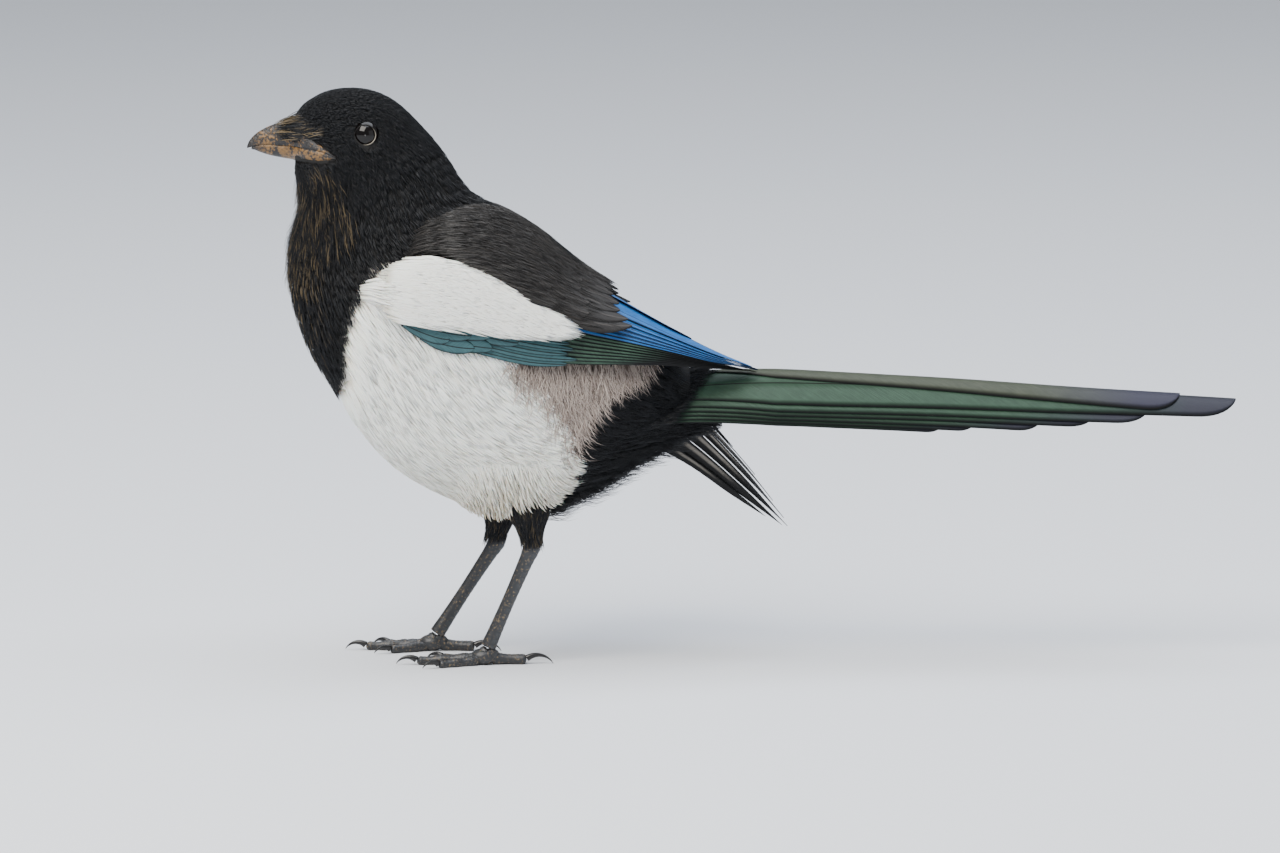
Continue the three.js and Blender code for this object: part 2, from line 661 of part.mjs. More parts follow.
function grownTarsus(leg) {
  const { length } = legAxis(leg);
  const path = [
    [length - 7, 3.0, 3.4],
    [length - 3, 3.6, HOCK_RADIUS + GAP],
    [length, 3.5, HOCK_RADIUS + GAP],
    [length + 2.9, 2.5, 2.9],
  ];
  return bar(path.map((row) => alongLeg(leg, ...row)), 10);
}

function toePath(leg, toe) {
  const heading = Math.PI + leg.side * radians(-toe.turn);
  const direction = [Math.cos(heading), Math.sin(heading)];
  const stations = evenly(0, 1, 2 * toe.joints + 2);
  return stations.map((u) => {
    const knuckle = 1 + 0.13 * Math.cos(FULL_TURN * toe.joints * u);
    const radius = toe.radius * mix(1.12, 0.78, u) * (u > 0.99 ? 0.75 : knuckle);
    const sink = mix(leg.ankle[1] - 1.2, radius - 0.25, Math.min(1, u * 4));
    const at = [leg.ankle[0] + direction[0] * toe.length * u,
      leg.side * LEG_SPREAD + direction[1] * toe.length * u, sink];
    return { at, wide: radius, high: radius };
  });
}

function foot(leg) {
  const ankle = bar([[-1, 3.0, 3.2], [ANKLE_HEIGHT * 0.4, 3.3, 3.4], [ANKLE_HEIGHT, 3.0, 3.1]]
    .map((row) => alongLeg(leg, ...row)), 10);
  const pad = ball([leg.ankle[0] - 1.5, leg.side * LEG_SPREAD, 3.3], [5.6, 4.4, 3.9], 10, 6);
  const toes = TOES.map((toe) => bar(toePath(leg, toe), 5));
  return largest(join([ankle, pad, ...toes]).trimByPlane([0, 0, 1], 0));
}

function claw(leg, toe) {
  const path = toePath(leg, toe);
  const [end, before] = [path.at(-1), path.at(-3)];
  const flat = [end.at[0] - before.at[0], end.at[1] - before.at[1]];
  const length = Math.hypot(...flat);
  const direction = flat.map((v) => v / length);
  const bend = radians(CLAW_RISE - CLAW_FALL) / toe.claw;
  const rings = evenly(0, toe.claw, 5).map((s) => {
    const angle = radians(CLAW_RISE) - bend * s;
    const out = (Math.sin(radians(CLAW_RISE)) - Math.sin(angle)) / bend + CLAW_CLEAR;
    const up = (Math.cos(angle) - Math.cos(radians(CLAW_RISE))) / bend;
    const radius = mix(1.45, 0.3, (s / toe.claw) ** 0.8);
    const at = [end.at[0] + direction[0] * out, end.at[1] + direction[1] * out, end.at[2] + 0.6 + up];
    return { at, wide: radius * 0.8, high: radius };
  });
  return bar(rings, 5).trimByPlane([0, 0, 1], 0.05);
}

// The nodes, by name
const nodes = {};
const body = bodySolid(0);
const grownBody = bodySolid(GAP);
const wingPockets = join(Object.values(WINGS).map((layout) => wingSlab(layout, 2 * GAP)));

const [headPart, trunk] = partAt(body, HEAD_CUT);
const [neckPart, torso] = partAt(trunk, BREAST_CUT);
const [front, rear] = partAt(torso, RUMP_CUT);
const [upperFront, lowerFront] = partAt(front, BACK_CUT);

// Head, with lids round the eye sockets
const gapes = [[GAPE_UPPER, true], [GAPE_LOWER, false]].map(([outline, upper]) => {
  const wedge = bodySolid(GAPE_RIM).intersect(sidePrism(outline, BEYOND_CHEEK));
  return { wedge, half: billHalf(upper), upper };
});

function eyeBall(side, radius) {
  return ball([EYE.x, side * EYE.y, EYE.z], [radius, radius, radius], 12, 8);
}

function lidRing(side) {
  const ring = new THREE.TorusGeometry(LID.ring, LID.thickness, 5, 12);
  ring.rotateX(Math.PI / 2);
  ring.rotateZ(side * radians(-6));
  ring.translate(EYE.x, side * LID.y, EYE.z);
  return fromGeometry(ring);
}

function head() {
  let shape = join([headPart, lidRing(LEFT), lidRing(RIGHT)]);
  for (const side of [LEFT, RIGHT]) shape = shape.subtract(eyeBall(side, EYE.radius + GAP));
  const base = ringSolid(BILL_ROWS.slice(3).map(([x, top, , under, halfWidth]) => {
    const [middle, halfHeight] = [(top + under) / 2, (top - under) / 2 + BILL_SPACE];
    return evenly(0, FULL_TURN, 16).slice(0, 16).map((turn) =>
      [x, (halfWidth + BILL_SPACE) * Math.sin(turn), middle + halfHeight * Math.cos(turn)]);
  }));
  return largest(shape.subtract(sidePrism(GAPE_SPACE, BEYOND_CHEEK)).subtract(base));
}

function bill({ wedge, half, upper }) {
  let shape = join([half, wedge]);
  if (!upper) return largest(shape);
  const { x, y, z, length, depth, height: high } = NOSTRIL;
  for (const side of [LEFT, RIGHT]) {
    shape = shape.subtract(ball([x, side * y, z], [length, depth, high], 12, 8));
  }
  return largest(shape);
}

nodes.head = head();
nodes.upper_bill = bill(gapes[0]);
nodes.lower_bill = largest(bill(gapes[1]).subtract(nodes.upper_bill.translate([0, 0, -GAP])));
nodes.eye_left = eyeBall(LEFT, EYE.radius);
nodes.eye_right = eyeBall(RIGHT, EYE.radius);
nodes.neck = largest(neckPart.subtract(wingPockets));
nodes.back = largest(upperFront.subtract(wingPockets));
nodes.belly = largest(lowerFront.subtract(wingPockets));
nodes.rump = largest(rear.subtract(wingPockets).subtract(tailSlab(GAP)));
nodes.tail = tail();

for (const [name, layout] of Object.entries(WINGS)) {
  nodes[`wing_${name}`] = wing(layout);
  const black = shoulder(layout.side, BLACK_ROWS, BLACK_VANES);
  const white = shoulder(layout.side, WHITE_ROWS, WHITE_VANES);
  const under = grownBody.add(wingPockets);
  nodes[`black_scapulars_${name}`] = largest(black.subtract(under));
  const beside = shoulderSlab(layout.side, BLACK_ROWS, GAP);
  nodes[`white_scapulars_${name}`] = largest(white.subtract(under).subtract(beside));
}

for (const leg of LEGS) {
  nodes[`thigh_${leg.name}`] = thigh(leg, grownBody);
  nodes[`tarsus_${leg.name}`] = largest(tarsus(leg));
  nodes[`foot_${leg.name}`] = foot(leg);
  for (const toe of TOES) nodes[`claw_${toe.name}_${leg.name}`] = largest(claw(leg, toe));
}

// Colours
const MATERIALS = {
  black: { color: 0x14151a, roughness: 0.6, metalness: 0 },
  white: { color: 0xf1efe9, roughness: 0.75, metalness: 0 },
  blue: { color: 0x1f4f86, roughness: 0.45, metalness: 0 },
  green: { color: 0x2c5a45, roughness: 0.45, metalness: 0 },
  horn: { color: 0x6e5b45, roughness: 0.5, metalness: 0 },
  leg: { color: 0x3a3a3c, roughness: 0.55, metalness: 0 },
  claw: { color: 0x1b1a1a, roughness: 0.4, metalness: 0 },
  eye: { color: 0x0c0a09, roughness: 0.08, metalness: 0 },
};
const FINISH = [
  [/^eye_/, 'eye'], [/bill$/, 'horn'], [/^claw_/, 'claw'], [/^(tarsus|foot)_/, 'leg'],
  [/^(belly|white_)/, 'white'], [/^wing_/, 'blue'], [/^tail$/, 'green'], [/./, 'black'],
];

function toMesh(name, shape) {
  const { vertProperties, triVerts } = shape.getMesh();
  const geometry = new THREE.BufferGeometry();
  geometry.setAttribute('position', new THREE.BufferAttribute(vertProperties, 3));
  geometry.setIndex(new THREE.BufferAttribute(triVerts, 1));
  geometry.computeVertexNormals();
  const [, finish] = FINISH.find(([pattern]) => pattern.test(name));
  const mesh = new THREE.Mesh(geometry, new THREE.MeshStandardMaterial(MATERIALS[finish]));
  mesh.name = name;
  return mesh;
}

const magpie = new THREE.Group();
for (const [name, shape] of Object.entries(nodes)) magpie.add(toMesh(name, shape));

// The origin is under the middle of the bird, on the floor
const box = new THREE.Box3().setFromObject(magpie);
magpie.position.set(-(box.min.x + box.max.x) / 2, -(box.min.y + box.max.y) / 2, -box.min.z);

export default magpie;
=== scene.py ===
# %% [markdown]
# # A Eurasian magpie, standing
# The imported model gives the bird's real size and where each part of it lies. This file dresses it: one
# smooth skin, then every feather as its own thin closed mesh. Real plumage is layered in the same way,
# short hair-like feathers on the face, soft ones on the body, and stiff vanes in the wings and the tail.

import bpy
import numpy as np
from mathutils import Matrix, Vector


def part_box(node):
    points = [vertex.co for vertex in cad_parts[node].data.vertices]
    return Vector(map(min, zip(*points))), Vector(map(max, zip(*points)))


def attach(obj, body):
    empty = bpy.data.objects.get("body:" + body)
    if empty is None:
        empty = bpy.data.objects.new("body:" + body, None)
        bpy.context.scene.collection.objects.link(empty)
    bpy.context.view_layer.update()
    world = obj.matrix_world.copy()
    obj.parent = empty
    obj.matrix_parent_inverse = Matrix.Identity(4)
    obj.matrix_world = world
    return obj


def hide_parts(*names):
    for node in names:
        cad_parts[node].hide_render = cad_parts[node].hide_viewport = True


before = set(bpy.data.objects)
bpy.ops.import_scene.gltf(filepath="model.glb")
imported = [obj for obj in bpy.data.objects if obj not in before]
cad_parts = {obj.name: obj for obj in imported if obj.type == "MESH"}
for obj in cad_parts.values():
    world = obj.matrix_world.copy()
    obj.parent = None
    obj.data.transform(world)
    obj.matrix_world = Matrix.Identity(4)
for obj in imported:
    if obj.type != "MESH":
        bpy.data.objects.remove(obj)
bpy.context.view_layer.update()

# %% [markdown]
# ## Units and place
# All shapes are worked out in millimetres, in the design's own coordinates, where the bill points to -X and
# the bird's left side is -Y. The eyes are true balls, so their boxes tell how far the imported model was
# shifted from those coordinates.

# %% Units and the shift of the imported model
MM = 0.001
EYE = np.array([-161.3, 10.9, 228.3])  # centre of the right eye
EYE_RADIUS = 6.2
eye_boxes = np.array([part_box("eye_left"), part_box("eye_right")]) / MM
SHIFT = eye_boxes.mean(axis=(0, 1)) - EYE * [1, 0, 1]
LEFT, RIGHT = -1, 1
SIDES = {"left": LEFT, "right": RIGHT}
QUARTER = np.pi / 2
FULL_TURN = (0, 2 * np.pi)
rng = np.random.default_rng(11)
print("the packed model is shifted by", np.round(SHIFT, 3), "mm")

# %% [markdown]
# ## Smooth rows
# A body is drawn as a few measured sections. A cubic through them, with each slope taken from the two
# neighbours, gives every section in between without a bump at the measured ones.


# %% Smooth rows
def through(rows):
    """A cubic curve through rows, read by each row's first number; slopes are those between neighbours."""
    rows = np.asarray(rows, float)
    places = rows[:, 0]
    ahead = np.vstack([rows[1:], rows[-1:]])
    behind = np.vstack([rows[:1], rows[:-1]])
    slopes = (ahead - behind) / (ahead[:, :1] - behind[:, :1])

    def at(place):
        """With t from 0 to 1 between two rows: each row and its slope, weighted by a cubic in t."""
        place = np.clip(np.asarray(place, float), places[0], places[-1])
        i = np.clip(np.searchsorted(places, place, side="right") - 1, 0, len(places) - 2)
        step = (places[i + 1] - places[i])[..., None]
        t = (place[..., None] - places[i][..., None]) / step
        start = (2 * t**3 - 3 * t**2 + 1) * rows[i] + (t**3 - 2 * t**2 + t) * step * slopes[i]
        end = (3 * t**2 - 2 * t**3) * rows[i + 1] + (t**3 - t**2) * step * slopes[i + 1]
        return np.moveaxis((start + end)[..., 1:], -1, 0)

    return at


def unit(vectors):
    """Vectors divided by their lengths."""
    return vectors / np.maximum(np.linalg.norm(vectors, axis=-1, keepdims=True), 1e-9)


def slopes_of(surface, u, v):
    """How fast a surface moves along its two parameters, from two near points on each side."""
    near = 1e-3
    along = (surface(u + near, v) - surface(u - near, v)) / (2 * near)
    across = (surface(u, v + near) - surface(u, v - near)) / (2 * near)
    return along, across


print("half way between 2 and 4 a smooth row gives", through([[0, 2], [1, 4]])(0.5)[0])

# %% [markdown]
# ## Meshes
# Every piece is made from whole arrays of points and triangles, because a coat of a hundred thousand strands
# would take minutes to add point by point. A closed shell has a positive volume when its faces point
# outwards, so the sign of that volume tells whether all its triangles must be turned.


# %% Make a piece from arrays
def outward(points, triangles):
    """The triangles, turned over if the volume that they enclose comes out negative."""
    a, b, c = (points[triangles[:, k]] for k in range(3))
    volume = np.einsum("ij,ij->i", a - points[0], np.cross(b - points[0], c - points[0])).sum()
    return triangles if volume > 0 else triangles[:, ::-1]


def add_piece(name, points, triangles, finish, slot, values=None, bake=None, nodes=()):
    """A mesh object from points in millimetres; values are numbers kept at each point for its finish."""
    triangles = outward(points, triangles)
    mesh = bpy.data.meshes.new(name)
    mesh.vertices.add(len(points))
    mesh.vertices.foreach_set("co", ((points + SHIFT) * MM).astype(np.float32).ravel())
    mesh.loops.add(triangles.size)
    mesh.loops.foreach_set("vertex_index", triangles.astype(np.int32).ravel())
    mesh.polygons.add(len(triangles))
    mesh.polygons.foreach_set("loop_start", np.arange(0, triangles.size, 3, dtype=np.int32))
    mesh.update(calc_edges=True)
    mesh.shade_smooth()
    for key, numbers in (values or {}).items():
        layer = mesh.attributes.new(key, "FLOAT", "POINT")
        layer.data.foreach_set("value", np.ascontiguousarray(numbers, dtype=np.float32).ravel())
    if bake is not None:
        layer = mesh.uv_layers.new(name="OFBake")
        layer.data.foreach_set("uv", bake[triangles.ravel()].astype(np.float32).ravel())
    mesh.materials.append(finish)
    made = bpy.data.objects.new(name, mesh)
    bpy.context.scene.collection.objects.link(made)
    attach(made, "root")
    if nodes:
        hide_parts(*nodes)
    print(f"{name}: {len(triangles)} triangles")


# %% [markdown]
# ## Grids and closed tubes
# Most of the bird's shapes are tubes: rings of points one after the other, with a fan of triangles over each
# end. A feather's vane is one too, a very flat one.


# %% Grids and closed tubes
def grid(first, second):
    """Every pair of the numbers in two rows, as two arrays."""
    return np.meshgrid(first, second, indexing="ij")


def circle(count):
    """Angles evenly round a full turn."""
    return np.linspace(*FULL_TURN, count + 1)[:-1]


def grid_triangles(rows, columns):
    """Two triangles for each cell of a grid whose last column is joined to its first."""
    i = np.arange(rows - 1)[:, None] * columns
    j = np.arange(columns)[None, :]
    k = (j + 1) % columns
    a, b, c, d = i + j, i + k, i + columns + j, i + columns + k
    return np.concatenate([np.stack([a, b, d], -1).reshape(-1, 3), np.stack([a, d, c], -1).reshape(-1, 3)])


def tube_triangles(rows, columns):
    """The side of a tube and a fan over each end, whose middle points follow the rings."""
    j = np.arange(columns)
    k = (j + 1) % columns
    first, last = rows * columns, rows * columns + 1
    end = (rows - 1) * columns
    start_fan = np.stack([np.full(columns, first), k, j], -1)
    end_fan = np.stack([np.full(columns, last), end + j, end + k], -1)
    return np.concatenate([grid_triangles(rows, columns), start_fan, end_fan])


def tube_points(rings):
    """The rings of a tube in one list, and the middle of its first and last ring."""
    return np.concatenate([rings.reshape(-1, 3), rings[:1].mean(axis=1), rings[-1:].mean(axis=1)])


def tube(rings):
    """The points and the triangles of a closed tube through rings of points."""
    return tube_points(rings), tube_triangles(*rings.shape[:2])


def together(parts):
    """Several closed shells, each points and triangles, as one list of points and one of triangles."""
    starts = np.cumsum([0] + [len(points) for points, _ in parts[:-1]])
    points = np.concatenate([points for points, _ in parts])
    triangles = np.concatenate([outward(p, t) + start for (p, t), start in zip(parts, starts)])
    return points, triangles


print("a closed tube of 3 rings of 4 points has", len(tube_triangles(3, 4)), "triangles")

# %% [markdown]
# ## Colours and material nodes
# Colours are written as sRGB hex values and turned to linear light once. One helper adds a node, sets its
# inputs and makes its links, which keeps each material readable from top to bottom.


# %% Colour and node helpers
def linear(code):
    """An sRGB hex colour as linear red, green, blue and alpha."""
    parts = np.array([int(code[i : i + 2], 16) for i in (1, 3, 5)]) / 255
    light = np.where(parts <= 0.04045, parts / 12.92, ((parts + 0.055) / 1.055) ** 2.4)
    return (*light.tolist(), 1.0)


def add_node(tree, kind, inputs=None, **settings):
    """Adds a node; an input that is another node's socket is linked, and any other value is set."""
    made = tree.nodes.new(kind)
    for key, value in settings.items():
        setattr(made, key, value)
    for key, value in (inputs or {}).items():
        if isinstance(value, bpy.types.NodeSocket):
            tree.links.new(value, made.inputs[key])
        else:
            made.inputs[key].default_value = value
    return made


print("a middle grey, #808080, is", round(linear("#808080")[0], 3), "in linear light")

# %% [markdown]
# ## Steps of a finish
# Every finish here is built from the same few steps: read a number kept on the faces, mix two colours, add
# noise, and tilt the surface by a height.


# %% Steps of a finish
def new_material(name, **surface):
    """A material with one Principled shader, whose plain numbers are set on its own sockets."""
    material = bpy.data.materials.new(name)
    material.use_nodes = True
    shader = material.node_tree.nodes["Principled BSDF"]
    for key, value in surface.items():
        shader.inputs[key.replace("_", " ")].default_value = value
    return material, material.node_tree, shader


def read(tree, name):
    """The number kept at each point under a name."""
    return add_node(tree, "ShaderNodeAttribute", attribute_name=name).outputs["Fac"]


def blend_colours(tree, share, first, second):
    """A colour between two, each a hex code or another node's colour."""
    colours = [linear(c) if isinstance(c, str) else c for c in (first, second)]
    mixed = add_node(tree, "ShaderNodeMix", {"Factor": share, 6: colours[0], 7: colours[1]}, data_type="RGBA")
    return mixed.outputs[2]


def maths(tree, operation, first, second=0.0, **settings):
    """One step of arithmetic on numbers or sockets."""
    return add_node(tree, "ShaderNodeMath", {0: first, 1: second}, operation=operation, **settings).outputs[0]


def surface_noise(tree, size, detail=3.0):
    """Noise whose blotches are about size millimetres, on the object's own coordinates."""
    place = add_node(tree, "ShaderNodeTexCoord").outputs["Object"]
    settings = {"Vector": place, "Scale": 1 / (size * MM), "Detail": detail}
    return add_node(tree, "ShaderNodeTexNoise", settings)


def tilt_surface(tree, shader, height, depth):
    """Bump from a height between 0 and 1 that stands for depth millimetres."""
    bump = add_node(tree, "ShaderNodeBump", {"Height": height, "Distance": depth * MM, "Strength": 1.0})
    tree.links.new(bump.outputs[0], shader.inputs["Normal"])


print("noise and bumps are sized in millimetres, of", MM, "m each")

# %% [markdown]
# ## The body's form
# The body is a row of sections from the face to the tail's root. Each is an oval between a point on the
# back and a point on the underside, slightly squarer than an ellipse. A cage of a few boxes under a
# subdivision modifier would make it too, but a function of two numbers also tells where each feather's root
# lies and which way is out.

# %% The body's surface
# Station, back X and Z, underside X and Z, half width, and how much wider the lower half is
BODY_ROWS = [
    [0, -192.4, 233.6, -192.2, 212.6, 7.6, 0.0],
    [1, -187.6, 240.1, -190.6, 208.4, 11.2, 0.02],
    [2, -176.5, 245.8, -189.8, 201.6, 14.8, 0.04],
    [3, -162.0, 246.3, -189.6, 194.5, 17.0, 0.05],
    [4, -149.6, 241.4, -191.6, 187.6, 17.8, 0.04],
    [5, -138.2, 230.9, -193.6, 180.0, 18.6, 0.02],
    [6, -128.2, 218.9, -194.2, 170.6, 21.0, 0.0],
    [7, -117.6, 203.3, -193.8, 159.2, 25.5, 0.0],
    [8, -105.2, 195.8, -190.4, 146.0, 30.5, 0.02],
    [9, -90.4, 187.6, -184.6, 131.8, 34.5, 0.04],
    [10, -75.6, 176.6, -176.0, 118.2, 37.0, 0.06],
    [11, -61.6, 163.6, -164.6, 99.6, 38.0, 0.08],
    [12, -50.4, 152.4, -148.6, 82.6, 37.6, 0.1],
    [13, -41.0, 143.6, -126.4, 70.2, 36.0, 0.12],
    [14, -33.6, 137.6, -104.6, 63.6, 33.0, 0.12],
    [15, -27.4, 132.4, -86.4, 64.6, 28.6, 0.1],
    [16, -21.8, 126.4, -68.4, 74.0, 22.4, 0.06],
    [17, -15.8, 119.6, -45.4, 87.6, 14.4, 0.02],
    [18, -9.4, 114.0, -25.6, 96.6, 9.0, 0.0],
    [19, -2.6, 110.0, -9.4, 102.6, 5.0, 0.0],
]
SQUARENESS = 0.92
LAST_STATION = 19
body_section = through(BODY_ROWS)


def body(station, turn):
    """Half way between back and underside, plus half the height times the cosine of the turn upwards, and
    the half width times its sine, raised to the squareness, sideways. Turn 0 is the back, pi the belly."""
    back_x, back_z, under_x, under_z, half_width, lower = body_section(station)
    tall = np.hypot(back_x - under_x, back_z - under_z)
    side, rise = np.sin(turn), np.cos(turn) / 2
    y = half_width * np.sign(side) * np.abs(side) ** SQUARENESS * (1 - lower * np.cos(turn))
    x = (back_x + under_x) / 2 + (back_x - under_x) * rise
    z = (back_z + under_z) / 2 + (back_z - under_z) * rise
    return np.stack([x + 0 * tall, y, z], -1)


def body_normal(station, turn):
    """The direction straight out of the body."""
    along, across = slopes_of(body, station, turn + 1e-4)
    return unit(np.cross(along, across))


probe = body_normal(np.array([10.0]), np.array([QUARTER]))[0]
print("straight out of the bird's right side is", np.round(probe, 2))

# %% [markdown]
# ## Markings
# The black bib, the white belly and the pale rump meet along lines that were read off the photograph. They
# are kept as heights seen from the camera, which looks down by eight degrees, so a point on the flank is
# sorted by where it appears and not by where it lies.

# %% Markings
PIXEL = 0.43  # millimetres of the bird to one pixel of the photograph, at the middle of the body
MIDDLE_PX, FLOOR_PX = 742.5, 658
LOOK_DOWN = np.radians(8)
BIB_EDGE = [(337, 392), (341, 383), (346, 370), (345, 360), (347, 340), (350, 325), (355, 310), (360, 298),
            (367, 287), (375, 272), (380, 264)]
BELLY_REAR = [(525, 517), (540, 505), (555, 497), (562, 485), (568, 470), (571, 455), (570, 440), (565, 425),
              (555, 405), (540, 385), (520, 368), (500, 340), (470, 262)]
PALE_REAR = [(560, 470), (575, 450), (585, 430), (590, 415), (600, 400), (620, 382), (640, 369), (660, 350)]


def edge_at(height, line):
    """X of a line read off the photograph, at a height seen from the camera."""
    line = np.array(sorted(line, key=lambda p: -p[1]), float)
    return np.interp(height, (FLOOR_PX - line[:, 1]) * PIXEL, (line[:, 0] - MIDDLE_PX) * PIXEL)


def seen_height(points):
    """How high a point appears from the camera, both sides of the bird taken as the near one."""
    return points[..., 2] * np.cos(LOOK_DOWN) - np.abs(points[..., 1]) * np.sin(LOOK_DOWN)


def white_and_pale(points, stray=0.0):
    """Two masks: inside the white belly, and inside the pale rump; stray moves a point's own borders."""
    height = seen_height(points) + 0.6 * stray
    x = points[..., 0] + stray
    front = np.where(height < (FLOOR_PX - BIB_EDGE[0][1]) * PIXEL, -400, edge_at(height, BIB_EDGE))
    rear = edge_at(height, BELLY_REAR)
    white = (x > front) & (x < rear) & (height < (FLOOR_PX - BIB_EDGE[-1][1]) * PIXEL)
    low, high = ((FLOOR_PX - PALE_REAR[end][1]) * PIXEL for end in (0, -1))
    pale = (x >= rear) & (x < edge_at(height, PALE_REAR)) & (height > low) & (height < high)
    return white, pale


print("the bib's lower edge is", round((FLOOR_PX - BIB_EDGE[0][1]) * PIXEL), "mm over the floor")

# %% [markdown]
# ## Shells of the wings, shoulders and tail
# A folded wing lies on the body like a hand on a cushion. Its shell is an oval section at each distance
# along it, and a feather is placed by distance, angle round the shell and height over it, which is easier
# than turning each feather by hand. The far wing uses a straight shell that is turned down about its wrist.
# The tail is a soft roof over a ridge.

# %% Measures of the shells
# Distance along, lowest edge, highest edge, centre sideways and half width
LEFT_WING_ROWS = [[-160, 156, 172, 20, 13], [-150, 149, 184, 10, 26], [-130, 140, 190, 2, 37.2],
                  [-110, 136.4, 188, 1, 39.2], [-90, 132.6, 181, 1, 38.8], [-70, 131.6, 167.6, 4, 33.6],
                  [-50, 131.2, 156.4, 7, 27], [-30, 130, 145, 7, 20], [-10, 126.8, 134.6, 5, 12.4],
                  [6.4, 124.6, 127.8, 2, 7.4]]
RIGHT_WING_ROWS = [[0, -4, 12, 22.5, 10], [12, -12, 26, 23.5, 13], [35, -18, 34, 24.5, 16],
                   [60, -18, 37, 25.5, 16], [90, -14, 35, 25.5, 15], [120, -7, 29, 25, 13],
                   [150, -2, 21, 24, 11], [175, -1.5, 14.5, 24, 9], [203, -1, 5, 24, 8]]
SHOULDER_ROWS = [[-160, 151, 190, 0, 36.5], [-150, 146, 196, 0, 41], [-130, 141, 199.6, 0, 44.6],
                 [-110, 136.4, 197.4, 0, 45.8], [-90, 132.6, 187.4, 0, 45.4], [-70, 131.6, 171.6, 0, 43],
                 [-50, 131.2, 158.6, 0, 38.6], [-36, 130.4, 150.2, 0, 33.6]]
# Distance along, lower and upper angle in degrees of the white patch and of the black shoulder feathers
WHITE_ROWS = [[-158, 4, 18], [-150, -3, 28], [-138, -3, 31], [-122, -1, 28], [-106, 1, 24], [-92, 5, 21],
              [-78, 13, 18]]
BLACK_ROWS = [[-132, 36, 60], [-122, 30, 74], [-106, 26, 82], [-92, 22, 84], [-78, 19, 84], [-62, 17, 84],
              [-50, 24, 80], [-38, 44, 62]]
LOWER_EDGE = np.sin(np.radians(15))
WRIST_X, WRIST_Z = -146, 168
DROOP = np.radians(35.4)
RIDGE_ROWS = [[-40, 121.4], [-18, 123.8], [10, 124.6], [42, 123.2], [85, 120.8], [136, 117.2], [187, 114],
              [213, 112.4]]
ROOF_RADIUS, ROOF_LEFT, ROOF_RIGHT = 9, np.radians(48), np.radians(14)
print("the near wing is", round(LEFT_WING_ROWS[-1][0] - LEFT_WING_ROWS[0][0]), "mm long")

# %% [markdown]
# ## Surfaces of the shells
# Each surface is a function, so that a feather can be laid anywhere on it. The far wing's shell is the
# same kind of oval as the near one's, with a turn about the wrist.

# %% Surfaces of the shells
def shell(rows, side, droops=False):
    """A point at a distance along, an angle in degrees and a height over an oval section that is as wide
    and as tall as the rows say; its height is measured straight out of the oval."""
    section = through(rows)

    def surface(along, angle, height=0.0):
        """Centre plus half width times cosine and half height times sine, plus the height along the
        oval's own normal, all turned down about the wrist if the shell droops."""
        low, top, centre_y, half_y = section(along)
        centre_z = (low + LOWER_EDGE * top) / (1 + LOWER_EDGE)
        half_z = top - centre_z
        c, s = np.cos(np.radians(angle)), np.sin(np.radians(angle))
        length = np.hypot(c / half_y, s / half_z)
        y = centre_y + half_y * c + height * c / (half_y * length)
        z = centre_z + half_z * s + height * s / (half_z * length)
        x = along + 0 * y
        if droops:
            x, z = (WRIST_X + x * np.cos(DROOP) + z * np.sin(DROOP),
                    WRIST_Z - x * np.sin(DROOP) + z * np.cos(DROOP))
        return np.stack([x, side * y, z], -1)

    return surface


def roof(along, across, height=0.0):
    """A point on the tail: two straight slopes joined by a round ridge; across is left positive."""
    (ridge,) = through(RIDGE_ROWS)(along)
    bent = np.clip(across, -ROOF_RADIUS * ROOF_RIGHT, ROOF_RADIUS * ROOF_LEFT)
    tilt, straight = bent / ROOF_RADIUS, across - bent
    reach = (ROOF_RADIUS + height) * np.sin(tilt) + straight * np.cos(tilt)
    fall = ROOF_RADIUS - (ROOF_RADIUS + height) * np.cos(tilt) + straight * np.sin(tilt)
    return np.stack([along + 0 * reach, -reach, ridge - fall], -1)


def angle_on_shell(points, rows):
    """The angle in degrees at which a point lies round a shell that hangs straight."""
    low, top, centre_y, half_y = through(rows)(points[..., 0])
    centre_z = (low + LOWER_EDGE * top) / (1 + LOWER_EDGE)
    up, out = (points[..., 2] - centre_z) / (top - centre_z), (np.abs(points[..., 1]) - centre_y) / half_y
    return np.degrees(np.arctan2(up, out))


def under_feathers(points, margin):
    """Whether the near wing or a shoulder patch hides a point of the body, by more than a margin."""
    x = points[..., 0]
    shoulder_angle = angle_on_shell(points, SHOULDER_ROWS)
    hidden = np.zeros(x.shape, bool)
    for rows, front in ((WHITE_ROWS, -155), (BLACK_ROWS, -114)):
        low, high = through(rows)(x)
        inside = (shoulder_angle > low + margin) & (shoulder_angle < high - margin)
        hidden |= inside & (x > front + margin) & (x < rows[-1][0] - margin)
    wing_angle = angle_on_shell(points, LEFT_WING_ROWS)
    near = (points[..., 1] < 0) & (wing_angle > margin - 15) & (wing_angle < 50)
    return hidden | (near & (x > -150 + margin) & (x < -20))


print("the tail's ridge is highest at", np.round(roof(10.0, 0.0), 1))

# %% [markdown]
# ## Strands
# A body feather's soft barbs hang together in strands that end in a point. Hair particles could draw them,
# but they leave no faces behind when the model is exported. Each strand here is a long three-sided spike:
# two edges and a low ridge over them, closed at its root and its tip.


# %% One strand
def strand_triangles(stations):
    """The faces of one spike: three sides between stations, three to its tip and one under its root."""
    faces = []
    for i in range(stations - 1):
        for j in range(3):
            a, b = 3 * i + j, 3 * i + (j + 1) % 3
            faces += [(a, b, b + 3), (a, b + 3, a + 3)]
    last, tip = 3 * (stations - 1), 3 * stations
    faces += [(last + j, last + (j + 1) % 3, tip) for j in range(3)]
    return np.array(faces + [(0, 2, 1)])


